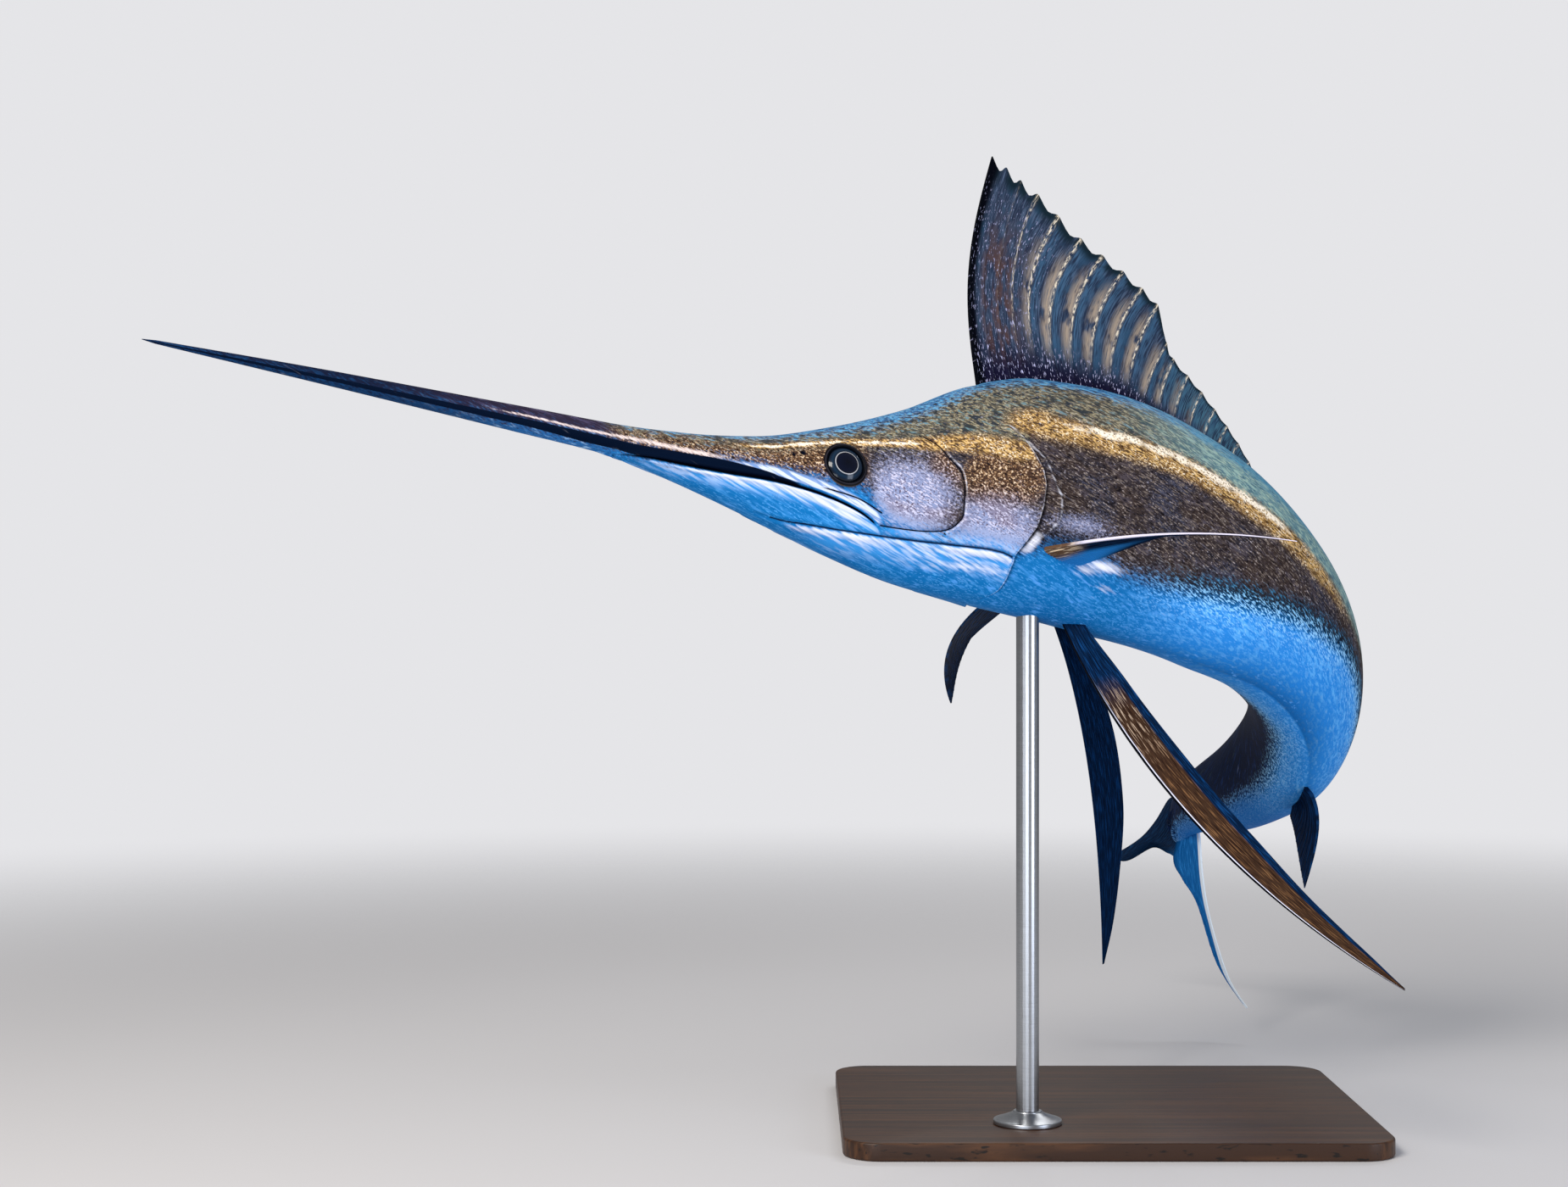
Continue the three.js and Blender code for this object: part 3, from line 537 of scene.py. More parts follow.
CREAM_LINE = [(-90, 56), (-20, 60), (2, 61), (50, 64), (113, 66), (185, 69), (230, 72), (287, 75),
              (360, 80), (450, 86)]
BILL_LIGHT = [(-1125, 84), (-700, 88), (-613, 97), (-574, 95), (-535, 91), (-496, 90), (-457, 88),
              (-430, 84)]
BAND_TOP = [(-1125, 100), (-700, 102), (-613, 108), (-574, 110), (-535, 103), (-496, 96), (-457, 92),
            (-415, 94), (-376, 100), (-334, 107)]
BAND_FOOT = [(-1125, 130), (-700, 134), (-613, 148), (-550, 142), (-493, 122), (-454, 112), (-415, 108),
             (-376, 106), (-334, 108)]


def angle_of(line):
    """The angle of a line of (station, angle) knots at every point's station."""
    return through(*zip(*line))(station)


def patch(place, angle, long, wide, power=1):
    """An oval on both flanks that fades from 1: e to the −d², with d the distance in its half sizes."""
    return ridge(np.hypot((station - place) / long, below(angle) / wide) ** power, 1)


def strongest(*strokes):
    """The greatest of several fields at every point, as where strokes of one paint overlap."""
    return np.maximum.reduce(strokes)


below_brow, below_cream = below(angle_of(BROW_LINE)), below(angle_of(CREAM_LINE))
above_mouth, below_mouth = -mouth_off - gape, mouth_off - gape
below_seam = distance["seam"] * np.sign(down - angle_of(JAW_SEAM))
by_seam = ramp(station, -400, -370) * ramp(behind_gill, 0, -6)
behind_head = ramp(behind_gill, -8, 4)
in_cheek = ramp(behind_cheek, 0, -4)
print("the gold light crosses", int((np.abs(below_cream) < 10).sum()), "points of the trunk's skin")

# %% Where each colour lies
# The paint reads heights from its lines in units of 100 mm. Flecks slant down toward the tail.
LINE_UNIT, FLECK_SLANT = 100, 0.4
brow_light = (1 - behind_head) * ramp(station, -470, -400)
trunk_light = behind_head * ramp(station, 520, 330)
low_cover = patch(-112, 118, 62, 40, 1.2) * (behind_cheek > 0) * ramp(behind_gill, 1, -4)
spine_at, _, _, up = frame_at(station)
height = ((bare - spine_at) * up).sum(-1)
aside = width_at(station) * np.sin(angles)
marks = {
    "belly": below(np.where(side > 0, angle_of(LEFT_BELLY), angle_of(RIGHT_BELLY))) / LINE_UNIT,
    "back": -below(angle_of(BACK_LINE)) / LINE_UNIT,
    "above": -np.where(station < -60, below_brow, below_cream) / LINE_UNIT,
    # Gold: partly the fish's gold colour and partly a painted highlight along the upper flank. Cream: a
    # painted highlight, a thin line over the eye and along the trunk.
    "gold": strongest(
        brow_light * ridge(below_brow, np.interp(station, [-420, -230, -150], [4, 6, 15])),
        trunk_light * ridge(below_cream - 12, 20) * ramp(station, -95, -20),
        stretch(station, -120, -85, -20, 30) * patch(-50, 60, 40, 20)),
    "cream": strongest(
        1.3 * brow_light * ridge(below_brow, 3) * (1 - 0.7 * ramp(station, -220, -180)),
        1.1 * trunk_light * ridge(below_cream - 2, 9) * ramp(station, -50, 40)
        * (1 - 0.6 * ramp(station, 270, 360))),
    "lilac": strongest(
        patch(-222, 104, 58, 49, 1.3) * in_cheek * ramp(station, -286, -256), low_cover,
        0.55 * behind_head * patch(8, 111, 44, 12)),
    "warm": strongest(
        patch(-98, 90, 58, 42, 2) * ramp(behind_gill, 2, -2), 0.9 * patch(-168, 80, 30, 34) * in_cheek,
        stretch(station, -640, -560, -300, -255) * ramp(down, 30, 44)),
    # The tail's dark navy: the stalk's own colour, laid from 450 mm on the left flank and already from 270 mm
    # on the right, where the inside of the bend gets it as painted shade.
    "rear": np.where(side > 0, ramp(station, 450, 820), ramp(station, 270, 450)),
    "stalk": ramp(station, 600, 820),
    "bill": ramp(station, -540, -640),
    "thin": ramp(station, -640, -900),
    "broad": ramp(station, 60, 260),
    "lie": np.stack([station - FLECK_SLANT * height, aside, height + FLECK_SLANT * station], -1) * MM,
}
print("the colours read", ", ".join(marks))

# %% Where the fine strokes lie: lights of the mouth and jaw, dark creases and pale edges
# The seam's mark is in units of 10 mm, and 50 mm where there is no seam
NO_SEAM, SEAM_UNIT = 50, 10
band_top, band_foot = angle_of(BAND_TOP), angle_of(BAND_FOOT)
lip_full, lip_end = (np.interp(station, [-580, -400, -300], reach) for reach in ([0, 2, 3], [5, 17, 27]))
seam_light = np.interp(station, [-375, -340, -260, -220, -185, -150, -80], [0, 1, 1, 0.45, 0.5, 0.95, 1])
marks |= {
    "glint": ridge(below(angle_of(BILL_LIGHT)), np.interp(station, [-1125, -613, -500], [1.2, 1.9, 3.8]))
    * stretch(station, -790, -680, -480, -430),
    "silver": stretch(above_mouth, 1, 4, 8, 17) * stretch(station, -480, -400, -268, -246),
    "sheen": strongest(
        stretch(below_mouth, 0, 2, 4, 26) * stretch(station, -590, -500, -270, -235),
        stretch(below_seam, 0, 3, 8, 50) * by_seam * ramp(station, -370, -300),
        0.8 * stretch(-below_seam, 1, 4, 8, 20) * ramp(station, -262, -235) * by_seam),
    "band": stretch(down, band_top - 3, band_top + 3, band_foot - 4, band_foot + 2)
    * ramp(station, -325, -375),
    "seam": np.where(by_seam > 0.5, below_seam, NO_SEAM) / SEAM_UNIT,
    # Crease: painted shade in the mouth, the cheek crease, the jaw bone's edge, the nostrils, the gill slit,
    # the throat folds, round the eye and along the shoulder.
    "crease": strongest(
        in_mouth * ridge(mouth_off, gape + 0.6), 0.95 * ridge(distance["cheek"], 1.1),
        0.9 * ridge(distance["bone"], 1.3) * ramp(station, -345, -320), np.sqrt(nostril),
        on_cover * ridge(behind_gill - 0.9, 1.5), 0.34 * ridge(distance["throat"], 1.8),
        0.8 * ridge(socket - 26, 3), 0.45 * ridge(distance["shoulder"] - 2, 1.6)),
    # Pale: partly the fish's own pale lip, throat bands, gill membrane and patches by the pectoral, and
    # partly painted highlights on the edges beside the cheek crease, the gill cover and the throat folds, and
    # on the shoulder ridge.
    "pale": strongest(
        stretch(below_mouth, 0, 2, lip_full, lip_end) * stretch(station, -575, -480, -300, -256),
        0.64 * ridge(distance["cheek"] - 2.2, 0.8) * (behind_cheek > 0) * ramp(down, 60, 80),
        0.56 * ridge(distance["shoulder"] - 0.4, 1.5), 0.6 * on_cover * ridge(behind_gill + 1.6, 1.0),
        0.95 * stretch(below_seam, 1, 3, 5, 18) * by_seam * seam_light,
        0.85 * patch(-118, 142, 60, 6) * (behind_gill < -3),
        0.5 * ridge(distance["throat"] - 3.2, 2.2) * ramp(down, 156, 146),
        stretch(behind_gill, 1, 5, 12, 26) * patch(-58, 122, 20, 16, 2),
        1.05 * patch(50, 129, 34, 8), 0.9 * patch(26, 132, 18, 7), 0.7 * patch(62, 140, 22, 5)),
}
print("the skin has", len(marks), "marks in all")

# %% [markdown]
# ## Colours and nodes
# Colours are picked on a screen as sRGB hex values, but a shader adds up light, so one function turns them
# linear. Materials are built from nodes, and one small function adds a node with its settings and links.
# Paint is a base colour and layers over it. A layer is its colour and the parts whose product is its mask.

# %% Colour and node helpers


def linear(hex_colour):
    """An sRGB hex colour as linear light: c / 12.92 when dark, else ((c + 0.055) / 1.055) to the 2.4."""
    parts = np.array([int(hex_colour[i:i + 2], 16) / 255 for i in (1, 3, 5)])
    light = np.where(parts <= 0.04045, parts / 12.92, ((parts + 0.055) / 1.055) ** 2.4)
    return (*light.tolist(), 1.0)


def add_node(tree, kind, inputs=None, **settings):
    """Adds a node, sets its settings, then links or sets each input, named or numbered."""
    node = tree.nodes.new(kind)
    for name, value in settings.items():
        setattr(node, name, value)
    for key, value in (inputs or {}).items():
        if isinstance(value, bpy.types.NodeSocket):
            tree.links.new(value, node.inputs[key])
        else:
            node.inputs[key].default_value = value
    return node


# Numbers of a colour mix node's sockets: how much, the colour below, the colour on top and the result
HOW_MUCH, BELOW, ON_TOP, MIXED = 0, 6, 7, 2
BUMP_HEIGHT = 0.0006


def new_material(name, **constants):
    """A material with an empty tree, its surface shader and the constants on the shader's sockets."""
    material = bpy.data.materials.new(name)
    material.use_nodes = True
    tree = material.node_tree
    shader = tree.nodes["Principled BSDF"]
    for socket_name, value in constants.items():
        shader.inputs[socket_name.replace("_", " ")].default_value = value
    return material, tree, shader


def speckles(tree, lie, sizes, detail=2.0):
    """Noise in cells of the given sizes in millimetres: the places in metres over the sizes."""
    scale = tuple(1 / (MM * size) for size in sizes)
    scaled = add_node(tree, "ShaderNodeMapping", {"Vector": lie, "Scale": scale})
    noise = add_node(tree, "ShaderNodeTexNoise", {"Vector": scaled.outputs["Vector"], "Scale": 1.0,
                                                  "Detail": detail, "Roughness": 0.55})
    return noise.outputs["Fac"]


def marked(tree, name, output="Fac"):
    """A mark that the mesh carries, as a socket."""
    return add_node(tree, "ShaderNodeAttribute", attribute_name=name).outputs[output]


def rising(tree, value, low, high):
    """A value turned to 0 at low and 1 at high by an even S. It falls where high is the lower number."""
    return add_node(tree, "ShaderNodeMapRange", {"Value": value, "From Min": low, "From Max": high},
                    interpolation_type="SMOOTHSTEP").outputs["Result"]


def mask_of(tree, parts, noises):
    """The product of all parts.

    A part is a socket, a mark's name, or the name of a noise or mark and the two values between
    which it rises from 0 to 1.
    """
    mask = None
    for part in parts:
        value, *span = part if isinstance(part, tuple) else (part,)
        if isinstance(value, str):
            value = noises[value] if value in noises else marked(tree, value)
        if span:
            value = rising(tree, value, *span)
        if mask:
            value = add_node(tree, "ShaderNodeMath", {0: mask, 1: value}, operation="MULTIPLY").outputs[0]
        mask = value
    return mask


def painted(tree, noises, base, *layers):
    """A base colour with layers over it in order. Colours are hex values or colour sockets."""
    colour = linear(base) if isinstance(base, str) else base
    for top, *parts in layers:
        top = linear(top) if isinstance(top, str) else top
        inputs = {HOW_MUCH: mask_of(tree, parts, noises), BELOW: colour, ON_TOP: top}
        colour = add_node(tree, "ShaderNodeMix", inputs, data_type="RGBA").outputs[MIXED]
    return colour


def finish_paint(tree, shader, colour, height, strength):
    """Links a colour and a bump to the shader."""
    tree.links.new(colour, shader.inputs["Base Color"])
    bump = add_node(tree, "ShaderNodeBump", {"Height": height, "Strength": strength, "Distance": BUMP_HEIGHT})
    tree.links.new(bump.outputs["Normal"], shader.inputs["Normal"])


print("a mid grey, #808080, is", round(linear("#808080")[0], 3), "in linear light")

# %% [markdown]
# ## Painted skin
# A fish model is cast in resin, sprayed in thin layers and sealed under satin lacquer. The lacquer's IOR is
# 1.5, and its reflection is kept low, because the dark back would look grey under large soft lights. The
# scales of a marlin are slivers a few millimetres long, so the paint is broken into short flecks that lie
# along the fish, drawn 7.5 by 1.9 mm, a little coarser than real ones so that they show.

# %% The skin's material and its flecks
# Sizes of the paint's flecks in millimetres: along the fish, across it and up
FLECKS = {"fine": (7.5, 1.9, 1.9), "grain": (3.0, 2.4, 2.4), "streak": (60, 4.2, 4.2),
          "spot": (26, 11, 11), "cloud": (90, 45, 45)}
skin_paint, tree, shader = new_material("painted cast resin, satin lacquer", Roughness=0.42, IOR=1.5,
                                        Specular_IOR_Level=0.01)
lie = marked(tree, "lie", "Vector")
noises = {name: speckles(tree, lie, sizes) for name, sizes in FLECKS.items()}
fine, grain, streak, spot = (noises[name] for name in ("fine", "grain", "streak", "spot"))


def broken(name, noise, amount, low, high):
    """A mark with a broken edge: the mark plus noise, turned to 0 at low and 1 at high by an even S."""
    shifted = add_node(tree, "ShaderNodeMath", {0: noise, 1: amount, 2: marked(tree, name)},
                       operation="MULTIPLY_ADD")
    return rising(tree, shifted.outputs[0], low + amount / 2, high + amount / 2)


print("the paint has", len(noises), "sizes of flecks")

# %% The dark flank, its warm parts, the olive shoulder and the gold light
warm = broken("warm", grain, 0.6, 0.2, 0.8)
olive = broken("above", fine, 0.5, -0.16, 0.2)
# The gold band's white sparkles and the cream line over it are painted highlights.
gold = broken("gold", grain, 0.9, 0.2, 0.9)
cream = broken("cream", spot, 1.5, 0.55, 1.1)
flank = painted(
    tree, noises, "#2e2a2f",
    ("#3a302d", ("cloud", 0.38, 0.62)), ("#3c3d4c", ("cloud", 0.5, 0.36), ("streak", 0.42, 0.6)),
    ("#474046", ("spot", 0.52, 0.66)), ("#71665f", ("fine", 0.54, 0.66)), ("#121014", ("fine", 0.45, 0.33)),
    ("#b3a594", ("grain", 0.6, 0.68), ("fine", 0.5, 0.6)),
    ("#45332b", warm), ("#906c4a", warm, ("grain", 0.46, 0.58)), ("#1e1614", warm, ("fine", 0.46, 0.36)),
    ("#f0d8b0", warm, ("grain", 0.55, 0.64), ("fine", 0.44, 0.54)),
    ("#565044", olive), ("#a29a80", olive, ("fine", 0.46, 0.62)), ("#383c3c", olive, ("spot", 0.46, 0.34)),
    ("#66858c", olive, ("streak", 0.56, 0.7)), ("#30363c", olive, ("streak", 0.48, 0.38)),
    ("#6a9098", olive, "broad"), ("#a8c0ae", olive, "broad", ("fine", 0.5, 0.64)),
    ("#3a6074", olive, "broad", ("fine", 0.46, 0.34)), ("#9cbcb4", olive, "broad", ("spot", 0.54, 0.66)),
    ("#8a673c", gold), ("#5e472e", gold, ("spot", 0.52, 0.38)), ("#dcb674", gold, ("fine", 0.48, 0.6)),
    ("#3a2a1e", gold, ("fine", 0.46, 0.35)), ("#fdeccb", gold, ("grain", 0.54, 0.64), ("spot", 0.44, 0.56)),
    ("#fff4e0", cream, ("grain", 0.36, 0.5)))
print("with the flank, the skin's paint has", len(tree.nodes), "nodes")

# %% The blue back and the belly
blue_back = painted(
    tree, noises, "#2f6ca8",
    ("#5da4d6", ("streak", 0.47, 0.62)), ("#4f94b4", "broad"), ("#80a9b0", ("fine", 0.54, 0.7)),
    ("#1c4a7c", ("streak", 0.45, 0.34)), ("#245480", ("fine", 0.43, 0.33)))
under = painted(
    tree, noises, "#1470b4",
    ("#3a8ed4", ("streak", 0.45, 0.7)), ("#4a98da", ("fine", 0.54, 0.66)),
    ("#2c8ae0", "broad"), ("#5cb0f6", "broad", ("streak", 0.45, 0.7)),
    ("#7cc0fa", "broad", ("fine", 0.54, 0.66), ("belly", 0.75, 0.2)),
    ("#1a68a8", broken("belly", fine, 0.3, 0.2, 0.02)),
    ("#9cd6ff", broken("belly", fine, 0.5, 0.5, 0.0), ("fine", 0.48, 0.6), "broad"),
    # Darker blue from about 50 mm below the belly line down: painted shade on the underside.
    ("#0a569c", broken("belly", streak, 0.4, 0.45, 1.2)),
    ("#4f9ae4", ("spot", 0.54, 0.68), ("streak", 0.5, 0.62)),
    ("#3a90d8", ("sheen", 0.1, 1.0)), ("#a4c2ec", ("sheen", 0.1, 1.1), ("streak", 0.4, 0.62)))
print("with back and belly, it has", len(tree.nodes))

# %% The cheek, the tail and the bill, and all of the skin put together
back = broken("back", streak, 0.7, -0.12, 0.16)
lilac = broken("lilac", grain, 1.3, 0.05, 0.9)
belly = broken("belly", fine, 0.6, -0.14, 0.14)
# A dark band just above the belly line, used on the trunk only: painted shade.
belly_line_shade = broken("belly", fine, 0.6, -0.3, -0.04)
trunk = painted(
    tree, noises, flank,
    (blue_back, back), ("#847f98", lilac), ("#8894ba", lilac, ("cloud", 0.56, 0.44)),
    ("#d0cee6", lilac, ("fine", 0.48, 0.63)), ("#574b5e", lilac, ("grain", 0.46, 0.36)),
    ("#a2b2da", lilac, ("belly", -0.24, 0.04)), ("#0d2434", belly_line_shade, "broad"),
    ("#2b6c94", belly_line_shade, "broad", ("fine", 0.5, 0.62)), (under, belly), ("#7797cc", ("silver", 0.05, 0.6)),
    ("#d4def2", ("silver", 0.1, 0.8), ("streak", 0.44, 0.58)))
tail = painted(
    tree, noises, "#021230",
    ("#06295a", ("streak", 0.48, 0.75)), (under, belly), ("#0a62b0", belly, ("stalk", 0.0, 1.4)))
# The pale streaks on the bill's blue underside are painted highlights.
bill = painted(
    tree, noises, "#2c2638",
    ("#4c4666", ("streak", 0.45, 0.75)), ("#2c6cac", belly), ("#8cb6de", belly, ("streak", 0.5, 0.7)),
    ("#141a30", "thin"), ("#163c66", "thin", belly))
colour = painted(
    tree, noises, trunk,
    (tail, broken("rear", streak, 1.2, 0.1, 0.9)), (bill, broken("bill", streak, 0.3, 0.2, 0.8)),
    ("#e8d6d2", broken("glint", fine, 1.3, 0.3, 1.2)), ("#051024", broken("band", streak, 0.3, 0.3, 0.7)),
    # Pale edges: the fish's own pale marks, and painted highlights beside the creases.
    ("#e6e8f6", broken("pale", streak, 1.5, 0.2, 1.25)),
    # A dark line along the jaw seam, then the dark creases: painted shade in the grooves.
    ("#0c1c3a", ("seam", -0.22, -0.02), ("seam", 0.2, 0.02)), ("#050917", ("crease", 0.3, 0.75)))
scales = add_node(tree, "ShaderNodeMath", {0: fine, 1: grain}, operation="ADD").outputs[0]
finish_paint(tree, shader, colour, scales, 0.35)
print("in all, the skin's paint has", len(tree.nodes), "nodes")

# %% [markdown]
# ## One skin
# The solids part the fish into bill, head, jaw, gill covers and trunk lengths. On the real fish the skin
# runs on without a seam, so one mesh stands for all of them. Its first and last rings close on a pole.

# %% Make the skin
# The bill's end is rounded over its first millimetres by a square root
TIP_START, TIP_LENGTH = 0.4, 6
tip = np.sqrt(np.clip((rings - rings[0] + TIP_START) / TIP_LENGTH, 0, 1))[:, None, None]
middle = skin_point(station, angles, 0)
poles = skin_point(rings[[0, -1]], np.zeros(2), 0)
skin_marks = {}
for name, values in marks.items():
    flat = values.reshape(len(rings) * COLUMNS, -1)
    ends = np.stack([flat[:COLUMNS].mean(0), flat[-COLUMNS:].mean(0)])
    skin_marks[name] = np.squeeze(np.concatenate([flat, ends]))
make_rings("skin", middle + (skin - middle) * tip, poles, skin_paint, "bronze_skin",
           ["bill", "head", "lower_jaw", "gill_cover_left", "gill_cover_right", "trunk_front", "trunk_middle",
            "trunk_rear", "tail_stalk"], skin_marks, crease=70)

# %% [markdown]
# ## The eyes
# A glass or clear resin eye is a dome painted from behind: black pupil, a thin silver ring, a dark blue
# iris and a black rim. The dome is the solids' own lens, made fine. A single number, the share of the way
# from the middle to the rim, carries all the rings. A soft lid closes over the dome's edge.

# %% The eye's and the lid's materials


def ringed_paint(name, rings, **constants):
    """Rings of colour, a list of shares and hex values, over the share of the way to the rim."""
    material, tree, shader = new_material(name, **constants)
    ramp_node = add_node(tree, "ShaderNodeValToRGB", {"Fac": marked(tree, "rim")})
    stops = ramp_node.color_ramp.elements
    for share, hex_colour in rings:
        stop = stops[0] if share == 0 else stops[-1] if share == 1 else stops.new(share)
        stop.color = linear(hex_colour)
    tree.links.new(ramp_node.outputs["Color"], shader.inputs["Base Color"])
    print(name, "has", len(stops), "rings of colour")
    return material


eye_paint = ringed_paint("clear cast resin eye, painted from behind", [
    (0, "#020512"), (0.4, "#040a1e"), (0.545, "#060c1c"), (0.56, "#c4c2bd"), (0.58, "#8c94a4"),
    (0.605, "#08121f"), (0.7, "#10283e"), (0.8, "#0a1a2c"), (0.87, "#05080f"), (1, "#020308"),
], Roughness=0.2, IOR=1.49, Specular_IOR_Level=0.1, Coat_Weight=0.3, Coat_Roughness=0.03)
lid_paint = ringed_paint("painted cast resin lid, satin lacquer", [
    (0, "#04060c"), (0.35, "#05080f"), (0.5, "#2e2c34"), (0.62, "#0a0c14"), (0.88, "#14100f"),
    (1, "#5a4c40"),
], Roughness=0.4, IOR=1.5, Specular_IOR_Level=0.06)

# %% Make the eyes and lids
EYE_ROWS, EYE_COLUMNS, LID_COLUMNS = 40, 96, 24
LID = {"inner": 22.6, "outer": 28.4, "rise": 2.6, "lean": 0.35, "sunk": 0.6}
round_eye = circle(EYE_COLUMNS)


def on_eye(flank, radius, height):
    """Rings round the eye's own axis: rows of points so far out along the skin, and so high off it."""
    at, along, across, out = eye_frame[flank]
    flat = radius[:, None, None] * (round_eye[:, :1] * along + round_eye[:, 1:] * across)
    return at + flat + height[:, None, None] * out


for flank, name in ((1, "left"), (-1, "right")):
    tilt = np.linspace(0, np.pi, EYE_ROWS + 2)[1:-1]
    dome = on_eye(flank, EYE["radius"] * np.sin(tilt), EYE["bulge"] * np.cos(tilt) - EYE["depth"])
    ends = on_eye(flank, np.zeros(2), np.array([1, -1]) * EYE["bulge"] - EYE["depth"])[:, 0]
    share = np.append(np.repeat(np.sin(tilt), EYE_COLUMNS), [0, 0])
    make_rings(f"eye_{name}", dome, ends, eye_paint, "eye", [f"eye_{name}"], {"rim": share})

    inward, upward = circle(LID_COLUMNS).T
    radius = (LID["outer"] + LID["inner"]) / 2 - (LID["outer"] - LID["inner"]) / 2 * inward
    lift = LID["rise"] * upward * (1 + LID["lean"] * inward) - LID["sunk"]
    ring = on_eye(flank, radius, lift).reshape(-1, 3)
    closed = grid_faces(LID_COLUMNS + 1, EYE_COLUMNS, around=True) % len(ring)
    share = np.repeat((1 - inward) / 2, EYE_COLUMNS)
    make_piece(f"lid_{name}", ring, [closed], lid_paint, "bronze_skin", ["head"], {"rim": share})

# %% [markdown]
# ## Fins
# A fin is a thin membrane over bony rays. The solids have few, wide rays. Here each fin is the same blade
# with the rays that a real one has, narrow and rounded, and finer ribs between them. The blade is a middle
# surface with half its thickness added on either side. Columns bunch up at each ray, so that few points
# make a crisp ridge. Paint follows the ray's number, the share outward and stripes beside each ray.

# %% A blade with rays
COLUMN_OFFSETS = np.array([-0.5, -0.32, -0.18, -0.1, -0.05, 0, 0.05, 0.1, 0.18, 0.32])
# A ray's and a rib's width, the ribs' height and what the membrane keeps of its thickness, as shares
RAY_WIDTH, RIB_WIDTH, RIB_RISE, SUNK_TO = 0.085, 0.5, 0.25, 0.82
# The least half thickness, in millimetres
LEAST_HALF = 0.22
# Paint's stripes: where each lies beside its ray, and how wide, in shares of the gap between rays
STRIPES = {"spine": (0, 0.05), "before": (-0.2, 0.16), "behind": (0.22, 0.13)}


def from_ray(u, rays):
    """How far a share across the fin is from the nearest ray, in gaps between rays."""
    ray = u * (rays - 1)
    return ray - np.round(ray)


def fin_half(fin, u, v):
    """Half the thickness: a slightly sunk membrane's, thinner outward, plus the height of ray and ribs."""
    reach = np.clip(v, 0, 1) ** 0.6
    membrane, rise = (fin[part][0] * (1 - reach) + fin[part][1] * reach for part in ("membrane", "ridge"))
    ribs = RIB_RISE * ridge(np.sin(u * (fin["rays"] - 1) * 3 * np.pi), RIB_WIDTH)
    rays = ridge(from_ray(u, fin["rays"]), RAY_WIDTH)
    return np.maximum(SUNK_TO * membrane / 2 + rise * (rays + ribs), LEAST_HALF)


def make_blade(name, fin, point, half, rows, material, slot, step=1e-3):
    """Two faces either side of a middle surface, with normals from short steps across and outward."""
    at = (np.arange(fin["rays"])[:, None] + COLUMN_OFFSETS).ravel() / (fin["rays"] - 1)
    columns = np.unique(np.append(at[(at > 0) & (at < 1)], [0, 1]))
    u, v = np.meshgrid(columns, rows)
    normal = unit(np.cross(point(u + step, v) - point(u - step, v), point(u, v + step) - point(u, v - step)))
    middle, thick = point(u, v), half(fin, u, v)[..., None]
    points = np.concatenate([middle + normal * thick, middle - normal * thick]).reshape(-1, 3)
    wide, tall = len(columns), len(rows)
    quads = grid_faces(tall, wide)
    number = np.arange(wide * tall).reshape(tall, wide)
    edge = np.concatenate([number[0], number[1:, -1], number[-1, -2::-1], number[-2:0:-1, 0]])
    after = np.roll(edge, -1)
    back = wide * tall
    rim = np.stack([edge, after, after + back, edge + back], -1)[:, ::-1]
    steps = np.linalg.norm(np.diff(middle, axis=0), axis=-1)
    outward = np.concatenate([np.zeros((1, wide)), np.cumsum(steps, axis=0)])
    across = u * np.linalg.norm(middle[tall // 4, -1] - middle[tall // 4, 0])
    fields = {"ray": u * (fin["rays"] - 1), "out": v, "wide": u, "lead": ramp(across, 3.5, 1),
              "lie": np.stack([across, outward, 0 * u], -1) * MM}
    for stripe, (place, width) in STRIPES.items():
        fields[stripe] = ridge(from_ray(u, fin["rays"]) - place, width)
    marks = {key: np.concatenate([field.reshape(back, -1)] * 2).squeeze() for key, field in fields.items()}
    make_piece(name, points, [quads, quads[:, ::-1] + back, rim], material, slot, [name], marks)


def rows_out(count, sunk):
    """Shares from the sunk root to the tip, closer near the tip: a sine's first quarter."""
    return np.concatenate([[-sunk], np.sin(np.linspace(0, np.pi / 2, count + 1))])


print("each ray has", len(COLUMN_OFFSETS), "columns of points")

# %% [markdown]
# ## Fin finishes
# Membranes are thin resin sheets, sprayed in navy and blue under satin lacquer. Rays catch the light, so on
# the tall back fin they are painted cream, with pale brown before each and slate blue behind. Fine streaks,
# about 1.5 mm wide, run out with the rays.

# %% Fin materials
# Sizes of streaks and flecks in millimetres: across the rays, then out along them
FIN_FLECKS = {"streak": (1.5, 26, 9), "fleck": (1.6, 9, 9), "cloud": (16, 40, 9)}


def fin_paint(name, base, *layers, rough=0.4):
    """Sprayed layers on a membrane, with streaks that run out with the rays and stand up a little."""
    material, tree, shader = new_material(name, Roughness=rough, IOR=1.5, Specular_IOR_Level=0.02)
    lie = marked(tree, "lie", "Vector")
    noises = {key: speckles(tree, lie, sizes) for key, sizes in FIN_FLECKS.items()}
    finish_paint(tree, shader, painted(tree, noises, base, *layers), noises["streak"], 0.4)
    print(name, "has", len(layers), "layers")
    return material


